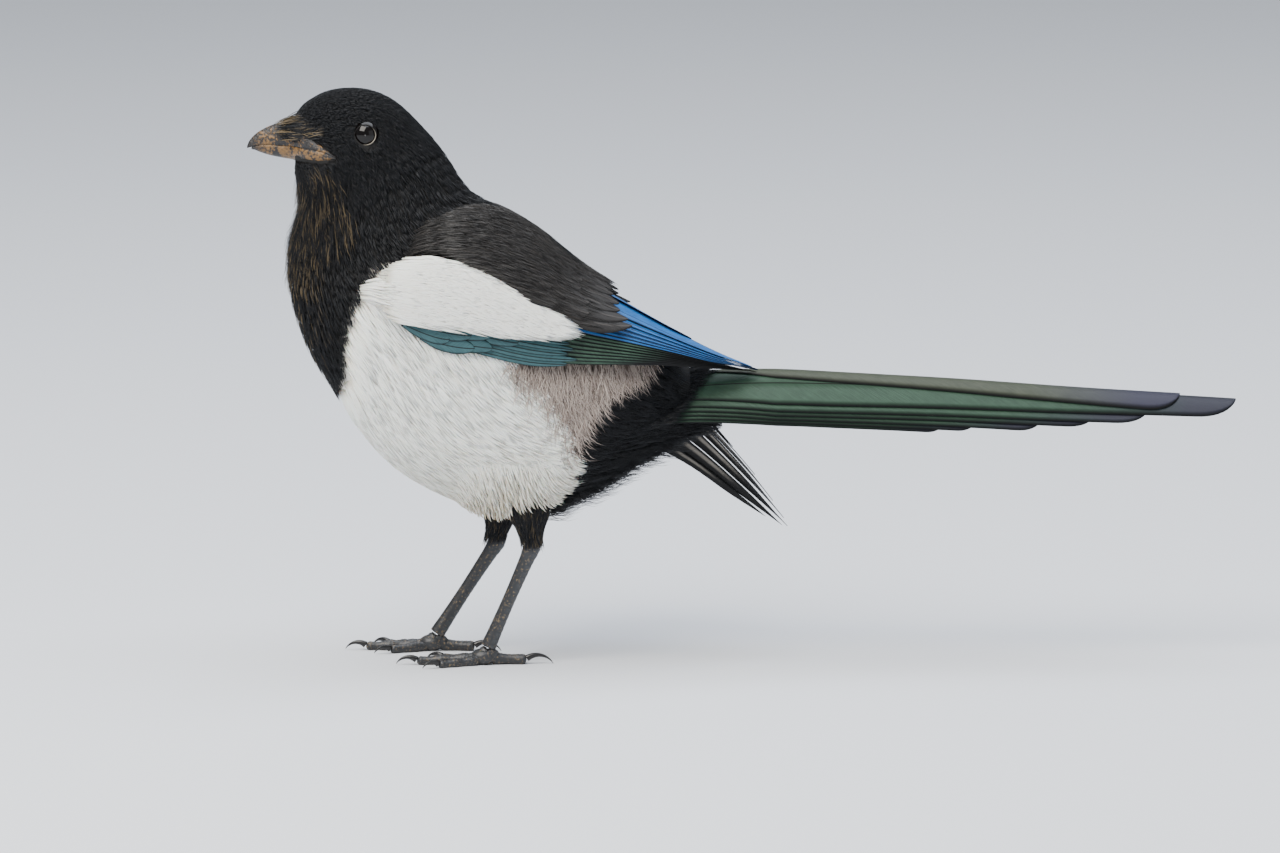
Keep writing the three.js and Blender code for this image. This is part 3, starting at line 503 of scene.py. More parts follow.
def strand_points(path, out, width, stations):
    """Points of spikes along paths: left edge, ridge and right edge at each station, and then the tip."""
    along = unit(np.gradient(path, axis=1))
    aside = unit(np.cross(along, out))
    swell = np.interp(np.linspace(0, 1, stations + 1), [0, 0.4, 1], [0.7, 1, 0])[None, :, None]
    half = width[:, None, None] * swell / 2
    left, right = path - aside * half, path + aside * half
    ridge = path + out * half * 0.7
    rings = np.stack([left, ridge, right], 2)[:, :stations].reshape(len(path), -1, 3)
    return np.concatenate([rings, path[:, -1:]], 1)


print("a strand of 3 stations has", len(strand_triangles(3)), "triangles")

# %% [markdown]
# ## Roots and ways over a surface
# A strand is laid on the skin by walking over the surface from its root, so it bends with the body. Roots
# drawn at random would leave bald spots, so they follow a sequence that always falls into the widest gap.


# %% Roots and ways over a surface
ROOT_CELLS = 160  # cells each way of the grid on which a surface's area is summed
GOLDEN_PAIR = 0.7548776662, 0.5698402910  # steps of the two-way golden sequence


def walk(surface, u, v, aim, bend, length, stations):
    """Places under a strand: steps of equal length whose heading starts at aim and turns by bend. Heading 0
    runs along u, and a positive one turns towards greater v."""
    along, across = slopes_of(surface, u, v)
    per_u, per_v = np.linalg.norm(along, axis=-1), np.linalg.norm(across, axis=-1)
    share = np.linspace(0, 1, stations + 1)
    heading = aim[:, None] + bend[:, None] * (share[:-1] + share[1:]) / 2
    step = (length / stations)[:, None]
    zero = np.zeros((len(u), 1))
    du = np.hstack([zero, np.cumsum(np.cos(heading) * step, 1)]) / np.maximum(per_u, 0.5)[:, None]
    dv = np.hstack([zero, np.cumsum(np.sin(heading) * step, 1)]) / np.maximum(per_v, 0.5)[:, None]
    return u[:, None] + du, v[:, None] + dv


def even_roots(surface, count, u_range, v_range, weight=None):
    """Roots spread over a surface, evenly for its area times a weight: a two-way golden sequence is read
    through the running totals of that product on a grid."""
    u_cells, v_cells = np.linspace(*u_range, ROOT_CELLS), np.linspace(*v_range, ROOT_CELLS)
    u_grid, v_grid = grid(u_cells, v_cells)
    along, across = slopes_of(surface, u_grid, v_grid)
    mass = np.linalg.norm(np.cross(along, across), axis=-1)
    if weight:
        mass = mass * weight(u_grid, v_grid)
    mass = mass + 1e-9
    by_row = np.concatenate([[0], np.cumsum(mass.sum(1))])
    order = np.arange(1, count + 1)
    first, second = (order * GOLDEN_PAIR[0]) % 1, (order * GOLDEN_PAIR[1]) % 1
    row = np.interp(first * by_row[-1], by_row, np.arange(len(by_row)))
    i = np.minimum(row.astype(int), len(u_cells) - 1)
    totals = np.cumsum(mass, 1)
    wanted = second * totals[i, -1]
    j = (totals[i] < wanted[:, None]).sum(1)
    spot = rng.random(count)
    u = u_range[0] + (row / len(u_cells)) * (u_range[1] - u_range[0])
    v = v_range[0] + ((j + spot) / len(v_cells)) * (v_range[1] - v_range[0])
    return u, v


print("the steps of the root sequence are", GOLDEN_PAIR)

# %% [markdown]
# ## Soft feathers
# A soft feather is a few strands side by side from one root. They rise from the skin to the top of the coat
# on their way, and each keeps the numbers that its finish reads. On the map for baking, a strand is a tiny
# patch at its root's place, so that strands which grow together are painted together.

# %% Soft feathers
BAKE_PATCH = 0.003  # how wide a strand's patch is on the bake map


def feathers_of_strands(surface, normal, u, v, shape, bake_range):
    """Soft feathers: each is a few strands side by side from one root. shape holds arrays or numbers for
    length, width, strands, aim, bend, depth (of the skin), lift (of the tip), gather (how much the strands
    turn inwards), stations and strand_width. Returns points, triangles and values for the finish."""
    count, strands, stations = len(u), shape["strands"], shape["stations"]

    def each(value):
        """A feather's value, once for each of its strands."""
        return np.repeat(np.broadcast_to(np.asarray(value, float), (count,)), strands)

    place = np.tile(np.linspace(-1, 1, strands), count) + rng.uniform(-0.25, 0.25, count * strands)
    half, side = each(shape["width"]) / 2, each(shape.get("side", 1))
    aim = each(shape["aim"]) + rng.normal(0, shape.get("unruly", 0.06), count * strands)
    long = each(shape["length"]) * (1 - 0.22 * place**2) * rng.uniform(0.86, 1.1, count * strands)
    along, across = slopes_of(surface, u, v)
    per_u = np.maximum(each(np.linalg.norm(along, axis=-1)), 0.5)
    per_v = np.maximum(each(np.linalg.norm(across, axis=-1)), 0.5)
    root_u = each(u) - np.sin(aim) * half * place / per_u
    root_v = each(v) + side * np.cos(aim) * half * place / per_v
    turned = side * (aim - each(shape["gather"]) * place)
    uu, vv = walk(surface, root_u, root_v, turned, side * each(shape["bend"]), long, stations)
    share = np.linspace(0, 1, stations + 1)
    depth, lift = each(shape["depth"]), each(shape["lift"]) * rng.uniform(0.6, 1.4, count * strands)
    crown = (1 - 0.35 * place**2)[:, None]
    rise = -depth[:, None] + (depth + lift)[:, None] * crown * np.sin(share * QUARTER)[None, :] ** 0.7
    out = normal(uu, vv)
    path = surface(uu, vv) + out * rise[..., None]
    width = each(shape["strand_width"]) * rng.uniform(0.8, 1.2, count * strands)
    points = strand_points(path, out, width, stations)
    faces = strand_triangles(stations)
    per = points.shape[1]
    triangles = (np.arange(len(points))[:, None, None] * per + faces).reshape(-1, 3)
    tone = np.repeat(rng.random(count), strands) * 0.5 + rng.random(count * strands) * 0.5
    run = np.append(np.repeat(share[:-1], 3), 1.0)
    u_low, u_high, v_low, v_high = bake_range
    corner = np.stack([(root_u - u_low) / (u_high - u_low), (root_v - v_low) / (v_high - v_low)], -1)
    patch = np.stack([run, np.append(np.tile([0, 0.5, 1], stations), 0.5)], -1) * BAKE_PATCH
    bake = 0.002 + 0.993 * np.clip(corner, 0, 1)[:, None, :] + patch[None]
    values = {"tone": np.repeat(tone, per), "share": np.tile(run, len(points))}
    root = np.repeat(surface(root_u, root_v), per, axis=0)
    return points.reshape(-1, 3), triangles, values, bake.reshape(-1, 2), root


print("a strand's patch on the bake map is", BAKE_PATCH, "wide")

# %% [markdown]
# ## Plumage finishes
# Black contour feathers are full of pigment grains and have a satin gloss; white ones hold none, so light
# scatters in them. Both finishes read two numbers kept on each strand: its tone, drawn at random, and the
# share of its length, which darkens the roots where light is lost between feathers.


# %% Plumage of soft strands
def strand_plumage(name, dark, middle, bright, warm, **surface):
    """Soft plumage: roots take the dark colour, painted shade where light is lost between feathers; then the
    tone picks between middle and bright, and the number called warm mixes in a dusty tint, which on the lower
    belly is also painted shade."""
    material, tree, shader = new_material(name, **surface)
    tone = blend_colours(tree, read(tree, "tone"), middle, bright)
    # Painted shade: each strand is darkest at its root and reaches its tone a third of the way along
    lit = add_node(tree, "ShaderNodeMapRange", {0: read(tree, "share"), 2: 0.35})
    body_colour = blend_colours(tree, lit.outputs[0], dark, tone)
    coloured = blend_colours(tree, read(tree, "warm"), body_colour, warm)
    tree.links.new(coloured, shader.inputs["Base Color"])
    return material


black_plumage = strand_plumage("black_satin_feather", "#030304", "#07080a", "#1a1c20", "#8f7c5c",
                               Roughness=0.5, Specular_IOR_Level=0.3)
# The white plumage's warm colour is a cream-brown stain, and on the lower belly also painted shade
white_plumage = strand_plumage("white_silky_feather", "#e2dacb", "#f7f2e7", "#fffdf5", "#a8926c",
                               Roughness=0.62, Subsurface_Weight=0.15, Subsurface_Scale=0.002)
pale_plumage = strand_plumage("pinkish_down_feather", "#3a312d", "#93837a", "#ddcfc3", "#64564e",
                              Roughness=0.7)
print("soft plumage comes in", black_plumage.name, white_plumage.name, "and", pale_plumage.name)

# %% [markdown]
# ## Skin
# One closed skin lies inside the coat from the bill to the tail's root and carries the same markings, so
# nothing of another colour shows between the strands. The thighs are part of it. It is made of the body's own
# sections, moved inwards by the depth of the coat, so that it never pokes through.

# %% Legs and depth of the coat
# Station and how far the skin lies under the tops of the feathers
COAT_DEPTH = [[0, 0.6], [4, 0.8], [7, 1.2], [11, 1.3], [15, 1.5], [19, 1.0]]
LEGS = {LEFT: {"hock": (-90.1, 51.7), "ankle": (-109.9, 6.4), "top": (-93.2, 76)},
        RIGHT: {"hock": (-105.6, 48.1), "ankle": (-132.7, 6.4), "top": (-100.2, 76)}}
LEG_SPREAD = 19  # each leg stands this far from the middle


def coat_depth(station):
    """How far the skin lies under the tops of the feathers."""
    return through(COAT_DEPTH)(station)[0]


def thigh(side, swell=0.0):
    """The feathered thigh: rings round a line from the hock into the body, wider towards the body."""
    leg = LEGS[side]
    low = np.array([leg["hock"][0] - 0.6, leg["hock"][1] + 3.0])
    top = np.array(leg["top"])
    wide_at = through([[0, 3.9, 4.4], [0.2, 4.8, 5.6], [0.45, 6.4, 8.2], [0.7, 6.8, 9.8], [1, 4.6, 7.6]])

    def surface(share, turn):
        """A point of the line plus half depth times cosine forwards and half width times sine aside."""
        wide, deep = wide_at(share)
        x = low[0] + (top - low)[0] * share + (deep + swell) * np.cos(turn)
        z = low[1] + (top - low)[1] * share + 0 * turn
        return np.stack([x, side * LEG_SPREAD + (wide + swell) * np.sin(turn), z], -1)

    return surface


print("on the belly the skin lies", coat_depth(11.0), "mm under the feathers")

# %% [markdown]
# ## One closed skin
# Without a skin, light would pass between the strands. It is lofted from the same functions that place
# the feathers, so it always lies the coat's depth below them.

# %% Skin
SKIN_RINGS, SKIN_SIDES, THIGH_RINGS = 150, 96, 16
THIGH_COAT = 1.2
THIGH_WHITE_FROM = 70  # the thighs are hidden in the white belly above this height
turns = circle(SKIN_SIDES)
s_grid, t_grid = grid(np.linspace(0, LAST_STATION, SKIN_RINGS), turns)
shells = [tube(body(s_grid, t_grid) - body_normal(s_grid, t_grid) * coat_depth(s_grid)[..., None])]
for side in SIDES.values():
    shells.append(tube(thigh(side, -THIGH_COAT)(*grid(np.linspace(0, 1, THIGH_RINGS), turns[::3]))))
skin_points, skin_triangles = together(shells)
skin_white, skin_pale = white_and_pale(skin_points)
body_count = len(shells[0][0])
skin_white[body_count:] = skin_points[body_count:, 2] > THIGH_WHITE_FROM
skin_pale[body_count:] = False

# Bare skin is matt, and lies in the shade of the feathers
skin_finish, tree, shader = new_material("feathered_skin", Roughness=0.8)
under_white = blend_colours(tree, read(tree, "white"), "#070707", "#e2ddd3")
under_pale = blend_colours(tree, read(tree, "pale"), under_white, "#5a4f48")
tree.links.new(under_pale, shader.inputs["Base Color"])
add_piece("skin", skin_points, skin_triangles, skin_finish, "black_feathers",
          {"white": skin_white, "pale": skin_pale},
          nodes=["head", "neck", "back", "belly", "rump", "thigh_left", "thigh_right"])

# %% [markdown]
# ## Body coat
# The feathers are shortest at the bill, a few millimetres, and reach fifteen on the belly. Roots are spread
# evenly, sorted into black, white and pale ones by the markings, and left out where a wing or the eye is.

# %% Where body feathers may grow
EYE_CLEAR = 5.1  # how far feathers stay from the middle of the eye
BARE_TO = -174  # X at which the bill and the bare corner of the mouth end
BIB_LOW, BIB_HIGH = ((FLOOR_PX - BIB_EDGE[end][1]) * PIXEL for end in (0, -1))


def off_eye(points, margin=EYE_CLEAR):
    """Whether a point is clear of the eye's opening."""
    return np.hypot(points[..., 0] - EYE[0], points[..., 2] - EYE[2]) > margin


def off_bill(points):
    """Whether a point is clear of the bill and the bare corner of the mouth."""
    low = np.interp(points[..., 0], [-200, -186, -180, BARE_TO], [216.6, 216.6, 216.2, 218.4])
    high = np.interp(points[..., 0], [-200, -188, -181.5, BARE_TO], [230, 228, 224.4, 219.4])
    inside = (points[..., 2] > low) & (points[..., 2] < high)
    return ~(inside & (points[..., 0] < BARE_TO))


def side_of(turn):
    """1 on the bird's right side and -1 on its left."""
    return np.where(np.sin(turn) >= 0, 1, -1)


def underneath(turn):
    """1 on the underside, falling to 0 at the widest places, and 0 above them."""
    return np.clip(-np.cos(turn), 0, 1)


def room_ahead(points, line, spare):
    """How far a point lies in front of a line of the markings, plus a spare length that may cross it."""
    return np.maximum(edge_at(seen_height(points), line) - points[..., 0], 0) + spare


def stray(size, count):
    """Random lengths by which each point's borders of the markings are moved, so that they look ragged."""
    return rng.normal(0, size, count)


print("the bib's edge runs from", round(BIB_LOW), "to", round(BIB_HIGH), "mm of height")

# %% [markdown]
# ## One piece of the coat
# Each piece is grown from its roots in one call. Strands that would cover the eye or the bill are left out
# whole, so that no strand ends in a cut.


# %% One piece of the coat
def keep(coat, good):
    """Leaves out the strands whose flag is false, in the points and in all that is kept for them."""
    points, triangles, values, bake, root = coat
    by_point = np.repeat(good, len(points) // len(good))
    renumber = np.cumsum(by_point) - 1
    kept = renumber[triangles[np.repeat(good, len(triangles) // len(good))]]
    return points[by_point], kept, {k: n[by_point] for k, n in values.items()}, bake[by_point], root[by_point]


def some(values, spread, share):
    """True on a share of the strands, chosen by their tone; another spread picks others."""
    return np.mod(values["tone"] * spread, 1) < share


def grow(name, u, v, shape, bake_range, finish=black_plumage, slot="black_feathers", warm=None, clear=None,
         surface=body, normal=body_normal, nodes=()):
    """Adds soft feathers from their roots as one piece. warm gives the share of the dusty tint, which on the
    lower belly is also painted shade, from the kept values and the root of each point, and clear is a test
    that each point of a strand has to pass."""
    coat = feathers_of_strands(surface, normal, u, v, shape, bake_range)
    if clear:
        coat = keep(coat, clear(coat[0].reshape(len(u) * shape["strands"], -1, 3)).all(axis=1))
    points, triangles, values, bake, root = coat
    values["warm"] = warm(values, root) if warm else np.zeros(len(points))
    add_piece(name, points, triangles, finish, slot, values, bake, nodes)


print("of four tones", int(some({"tone": np.array([0.1, 0.3, 0.6, 0.9])}, 1, 0.5).sum()), "are under a half")

# %% [markdown]
# ## Head
# The face has the smallest feathers, and they are shorter still round the eye. Those under the chin are
# longer and looser.

# %% Head
HEAD_FEATHERS = 7000
HEAD_END = 5.6  # station at which the head's short coat gives way to the neck's
# Station and length of the black feathers
BLACK_LENGTH = [[0, 2.2], [2, 3.2], [4, 4.6], [6, 7.0], [9, 10.5], [12, 13.0], [16, 15.0], [19, 12.0]]
UNDER_WING = 4  # how far roots reach under a wing's edge


def head_warm(values, root):
    """Dusty tips on the throat."""
    throat = np.clip((212 - root[:, 2]) / 20, 0, 1) * np.clip((-168 - root[:, 0]) / 14, 0, 1)
    return 0.75 * throat * some(values, 37.7, 0.16) * values["share"] ** 1.5


u, v = even_roots(body, HEAD_FEATHERS, (0.02, HEAD_END), FULL_TURN, lambda s, t: 1.5 - 0.12 * s)
roots = body(u, v)
good = off_eye(roots, EYE_CLEAR + 0.2) & off_bill(roots) & ~under_feathers(roots, UNDER_WING)
for word, side in SIDES.items():
    pick = good & (side_of(v) == side)
    us, vs = u[pick], v[pick]
    below = underneath(vs)
    near_eye = np.exp(-(((roots[pick][:, 0] - EYE[0]) / 9) ** 2 + ((roots[pick][:, 2] - EYE[2]) / 9) ** 2))
    long = through(BLACK_LENGTH)(us)[0] * (1 + 0.9 * below) * (1 - 0.45 * near_eye)
    grow(f"head_feathers_{word}", us, vs, {
        "length": long, "width": 1.5, "strands": 3, "stations": 2, "aim": 0.0, "bend": 0.0,
        "depth": coat_depth(us), "lift": 0.25 + 0.75 * below, "gather": 0.12, "side": side_of(vs),
        "strand_width": 0.46, "unruly": 0.11 + 0.1 * below.mean()}, (0, HEAD_END, *FULL_TURN),
        warm=head_warm, clear=lambda p: off_eye(p, EYE_CLEAR - 0.5) & off_bill(p))

# %% [markdown]
# ## Neck and bib
# The black bib ends in a clear edge on the white belly, so its feathers are cut short where they come near
# that edge. On this bird its front is worn, and golden and cream barbs show between the black ones.

# %% Neck and bib
NECK_FEATHERS = 4000


def bib_warm(values, root):
    """Golden and cream strands where the bib is worn, mostly at the front of the breast."""
    front = np.clip((-176 - root[:, 0]) / 14, 0, 1)
    band = np.exp(-((root[:, 2] - 176) / 22) ** 2)
    return 0.8 * some(values, 51.3, 0.05 + 0.3 * front * band) * front * values["share"]


u, v = even_roots(body, NECK_FEATHERS, (HEAD_END - 0.5, 14), FULL_TURN, lambda s, t: 1.3 - 0.05 * s)
roots = body(u, v)
white, pale = white_and_pale(roots, stray(0.9, len(u)))
good = ~white & ~pale & ~under_feathers(roots, UNDER_WING)
for word, side in SIDES.items():
    pick = good & (side_of(v) == side)
    us, vs = u[pick], v[pick]
    below = underneath(vs)
    long = through(BLACK_LENGTH)(us)[0]
    on_bib = (seen_height(roots[pick]) > BIB_LOW) & (seen_height(roots[pick]) < BIB_HIGH)
    long = np.where(on_bib, np.minimum(long, room_ahead(roots[pick], BIB_EDGE, 3.5)), long)
    grow(f"neck_feathers_{word}", us, vs, {
        "length": long, "width": 2.6 + 0.12 * us * (1 - below), "strands": 6, "stations": 3, "aim": 0.0,
        "bend": 0.0, "depth": coat_depth(us), "lift": 0.3 + 0.7 * below, "gather": 0.06,
        "side": side_of(vs), "strand_width": 0.52, "unruly": 0.07}, (5, 14, *FULL_TURN), warm=bib_warm)

# %% [markdown]
# ## Hackles of the throat
# Long narrow feathers hang over the throat and part from each other. A few strands to each root, drawn
# together at their tips and lifted by different amounts, give that loose look.

# %% Hackles of the throat
HACKLES = 1500


def hackle_warm(values, root):
    """Pale tips on a fifth of the hackles' strands."""
    return 0.85 * some(values, 41.7, 0.2) * np.clip(values["share"] * 1.6 - 0.35, 0, 1)


us, vs = even_roots(body, HACKLES, (0.05, 6.2), (np.pi - 1.45, np.pi + 1.45))
pick = off_bill(body(us, vs))
us, vs = us[pick], vs[pick]
grow("throat_hackles", us, vs, {
    "length": rng.uniform(7, 12.5, len(us)), "width": 1.6, "strands": 3, "stations": 3, "aim": 0.12,
    "bend": 0.0, "depth": 0.8, "lift": rng.uniform(0.6, 2.6, len(us)), "gather": 0.25, "side": side_of(vs),
    "strand_width": 0.3, "unruly": 0.12}, (0, 6.2, 1.6, 4.7), warm=hackle_warm, clear=off_bill)

# %% [markdown]
# ## Belly
# White feathers puff out over the legs and end in a rounded edge. They are wide and lie close, so that the
# belly reads as silk and not as hair. Low down they are stained cream and brown, with painted shade that
# darkens them towards the bottom.

# %% Belly
BELLY_FEATHERS, BELLY_LENGTH = 4200, 17.0


def belly_stain_and_shade(values, root):
    """Cream stain and painted shade over the lower belly, darker towards the bottom, and brown smears low
    down between the legs.
    """
    low = np.clip((104 - seen_height(root)) / 40, 0, 1)
    near_legs = np.exp(-((root[:, 0] + 104) / 17) ** 2)
    stain = np.clip(low * near_legs * 1.6 - 0.35, 0, 1) * some(values, 43.1, 0.55)
    # The first term is cream stain and painted shade together, darker lower down; the second is brown smears
    return 0.5 * low**1.3 + 0.5 * stain * values["share"]


u, v = even_roots(body, BELLY_FEATHERS, (5, 17), FULL_TURN)
roots = body(u, v)
white, pale = white_and_pale(roots, stray(0.7, len(u)))
good = white & ~under_feathers(roots, UNDER_WING)
for word, side in SIDES.items():
    pick = good & (side_of(v) == side)
    us, vs = u[pick], v[pick]
    grow(f"belly_feathers_{word}", us, vs, {
        "length": np.minimum(BELLY_LENGTH, room_ahead(roots[pick], BELLY_REAR, 2.5)), "width": 5.5,
        "strands": 8, "stations": 3, "aim": 0.0, "bend": 0.0, "depth": coat_depth(us), "lift": 0.35,
        "gather": 0.04, "side": side_of(vs), "strand_width": 1.25, "unruly": 0.03}, (5, 17, *FULL_TURN),
        white_plumage, "white_feathers", belly_stain_and_shade)

# %% [markdown]
# ## Rump
# Behind the belly long loose barbs hang down from under the wing, pinkish grey and half see-through. Two
# layers make them: a dense grey one close to the skin and a longer, finer and paler one over it.

# %% Rump
REAR_BAKE = (9, 19, *FULL_TURN)
VENT_FEATHERS = 4200
# How many roots, length, strand width, lift and the share of greyish strands, of the inner and outer layer
RUMP_LAYERS = [(9000, 12.0, 0.5, 0.5, 0.5), (7000, 17.0, 0.3, 1.5, 0.1)]
vent_u, vent_v = even_roots(body, VENT_FEATHERS, (9, 18.9), FULL_TURN)
vent_roots = body(vent_u, vent_v)
vent_white, vent_pale = white_and_pale(vent_roots, stray(1.2, VENT_FEATHERS))
for layer, (count, long, thin, lift, grey) in enumerate(RUMP_LAYERS, start=1):
    us, vs = even_roots(body, count, (9, 18.9), FULL_TURN)
    roots = body(us, vs)
    pick = white_and_pale(roots, stray(1.6, count))[1] & ~under_feathers(roots, 6)
    us, vs = us[pick], vs[pick]
    grow(f"rump_feathers_{layer}", us, vs, {
        "length": long, "width": 4.0, "strands": 5, "stations": 3, "aim": 1.0, "bend": -0.45,
        "depth": coat_depth(us), "lift": lift, "gather": 0.05, "side": side_of(vs), "strand_width": thin,
        "unruly": 0.22}, REAR_BAKE, pale_plumage, "white_feathers",
        lambda values, root: 0.8 * some(values, 29.3, grey))

# %% [markdown]
# ## Vent
# Black spiky feathers cover the vent and the root of the tail. They stand out most on the underside, and a
# fringe of longer ones, drawn to points, breaks its outline.

# %% Vent
on_tail = (vent_roots[:, 0] > -31) & (vent_roots[:, 2] > 105)
good = ~vent_white & ~vent_pale & ~under_feathers(vent_roots, 6) & (vent_roots[:, 0] > -100) & ~on_tail
for word, side in SIDES.items():
    pick = good & (side_of(vent_v) == side)
    us, vs = vent_u[pick], vent_v[pick]
    below = underneath(vs)
    grow(f"vent_feathers_{word}", us, vs, {
        "length": 13.0 + 4 * below, "width": 4.0, "strands": 7, "stations": 3, "aim": 0.12, "bend": 0.0,
        "depth": coat_depth(us), "lift": 0.5 + 3.2 * below, "gather": 0.3, "side": side_of(vs),
        "strand_width": 0.42, "unruly": 0.16}, REAR_BAKE)

us, vs = even_roots(body, 420, (12.6, 17.4), (np.pi - 0.75, np.pi + 0.75))
roots = body(us, vs)
pick = ~white_and_pale(roots)[0] & (roots[:, 0] > -106) & (roots[:, 0] < -30)
us, vs = us[pick], vs[pick]
grow("vent_fringe", us, vs, {
    "length": rng.uniform(10, 19, len(us)), "aim": rng.uniform(-0.15, 0.35, len(us)), "bend": 0.0,
    "depth": coat_depth(us), "lift": rng.uniform(1.0, 8.5, len(us)), "side": side_of(vs), "strands": 9,
    "stations": 3, "width": 3.4, "gather": 0.32, "unruly": 0.1, "strand_width": 0.5}, REAR_BAKE)

# %% [markdown]
# ## Thighs and flanks
# The thighs wear short black feathers that point down to the hock. The white flank lies over them like a
# skirt, so its feathers are lifted off the body where a thigh is under them.

# %% Thighs and flanks
THIGH_FEATHERS, FLANK_FEATHERS = 560, 3400
THIGH_X, THIGH_REACH = -100, 26  # middle of the thighs, and how far the skirt reaches to either side
SKIRT_LOW, SKIRT_HIGH = 68, 94  # heights between which the skirt's roots lie


def thigh_normal(surface):
    """Straight out of a thigh, away from the middle between opposite sides."""

    def normal(share, turn):
        """The two slopes' cross product, turned away from the middle."""
        along, across = slopes_of(surface, share, turn)
        out = unit(np.cross(along, across))
        middle = surface(share, turn) * 0.5 + surface(share, turn + np.pi) * 0.5
        return out * np.sign(np.sum(out * (surface(share, turn) - middle), -1, keepdims=True))

    return normal


for word, side in SIDES.items():
    leg_surface = thigh(side)
    us, vs = even_roots(leg_surface, THIGH_FEATHERS, (0.08, 0.97), FULL_TURN)
    grow(f"thigh_feathers_{word}", us, vs, {
        "length": 8.0, "width": 2.8, "strands": 6, "stations": 3, "aim": np.pi, "bend": 0.0,
        "depth": THIGH_COAT, "lift": 0.6, "gather": 0.1, "strand_width": 0.5, "unruly": 0.14},
        (0, 1, *FULL_TURN), surface=leg_surface, normal=thigh_normal(leg_surface),
        warm=lambda values, root: 0.4 * some(values, 31.9, 0.12) * values["share"])

    us, vs = even_roots(body, FLANK_FEATHERS, (10.5, 15), FULL_TURN)
    roots = body(us, vs)
    over_thigh = (np.abs(roots[:, 0] - THIGH_X) < THIGH_REACH) & (roots[:, 2] > SKIRT_LOW)
    pick = white_and_pale(roots)[0] & over_thigh & (roots[:, 2] < SKIRT_HIGH) & (side_of(vs) == side)
    us, vs, roots = us[pick], vs[pick], roots[pick]
    near_thigh = np.clip(1 - ((roots[:, 0] - THIGH_X) / THIGH_REACH) ** 2, 0, 1)
    grow(f"flank_feathers_{word}", us, vs, {
        "length": np.clip((roots[:, 2] - 66) * 0.9, 5, 14), "width": 4.0, "strands": 7, "stations": 4,
        "aim": 0.35 + 0.4 * near_thigh, "bend": 0.0, "depth": coat_depth(us),
        "lift": 5.0 * near_thigh * np.clip((SKIRT_HIGH - roots[:, 2]) / 20, 0, 1) + 0.3, "gather": 0.0,
        "side": side_of(vs), "strand_width": 1.2, "unruly": 0.05}, REAR_BAKE, white_plumage,
        "white_feathers", belly_stain_and_shade)

# %% [markdown]
# ## White shoulder patch
# The white scapulars are so silky that they read as one smooth oval with a few fine lines. They are strands
# again, laid tight on the shoulder's shell. The foremost roots lie deep, under the coat of the neck, so that
# the patch has no raised edge in front.


# %% White shoulder patch
PATCH_FEATHERS = 980
patch_edges = through(WHITE_ROWS)


def shell_normal(surface):
    """Straight out of a shell, from its own height."""
    return lambda along, angle: unit(surface(along, angle, 1.0) - surface(along, angle, 0.0))


def inside_patch(x, angle):
    """1 inside the white patch of a shoulder's shell, and 0 elsewhere."""
    low, high = patch_edges(x)
    return ((angle > low + 0.5) & (angle < high - 0.5)).astype(float)


for word, side in SIDES.items():
    shoulder = shell(SHOULDER_ROWS, side)
    us, vs = even_roots(shoulder, PATCH_FEATHERS, (-165, -84), (-3, 31), inside_patch)
    grow(f"white_shoulder_{word}", us, vs, {
        "length": 17.0, "width": 5.0, "strands": 7, "stations": 3, "aim": -0.06, "bend": 0.04,
        "depth": 1.2 + 8 * np.clip((-152 - us) / 11, 0, 1), "lift": 0.05, "gather": 0.02,
        "strand_width": 1.25, "unruly": 0.02}, (-158, -70, -6, 34), white_plumage, "white_feathers",
        lambda values, root: 0.06 * np.mod(values["tone"] * 17, 1), surface=shoulder,
        normal=shell_normal(shoulder), nodes=[f"white_scapulars_{word}"])

# %% [markdown]
# ## Vanes
# Stiff feathers have one flat vane on each side of a shaft. A vane is a thin closed sheet: its outline
# widens from the root, stays nearly parallel and rounds off at the tip. The finish needs to know where it
# is on the feather, so each point keeps its distance along and across, measured from the shaft.


# %% Vanes
VANE_THICK = 0.34  # millimetres; a little more than in life, so that each edge catches the light
SHAFT_RIDGE = 0.22  # how far the shaft stands over the vane at its root


def rounded(share, root, full, fall, power, tip=0.04):
    """Half width along a vane: grows from root to 1 at full, and falls as a rounded end after fall."""
    grown = root + (1 - root) * np.clip(share / full, 0, 1) ** 0.7
    ended = np.clip((share - fall) / (1 - fall), 0, 1)
    return grown * np.maximum((1 - ended**power) ** (1 / power), tip)


def both_faces(values):
    """Values of the upper face and, in turned order, of the under face, and the mean of each end."""
    ring = np.concatenate([values, values[:, ::-1]], 1)
    return np.append(ring.ravel(), [values[0].mean(), values[-1].mean()])


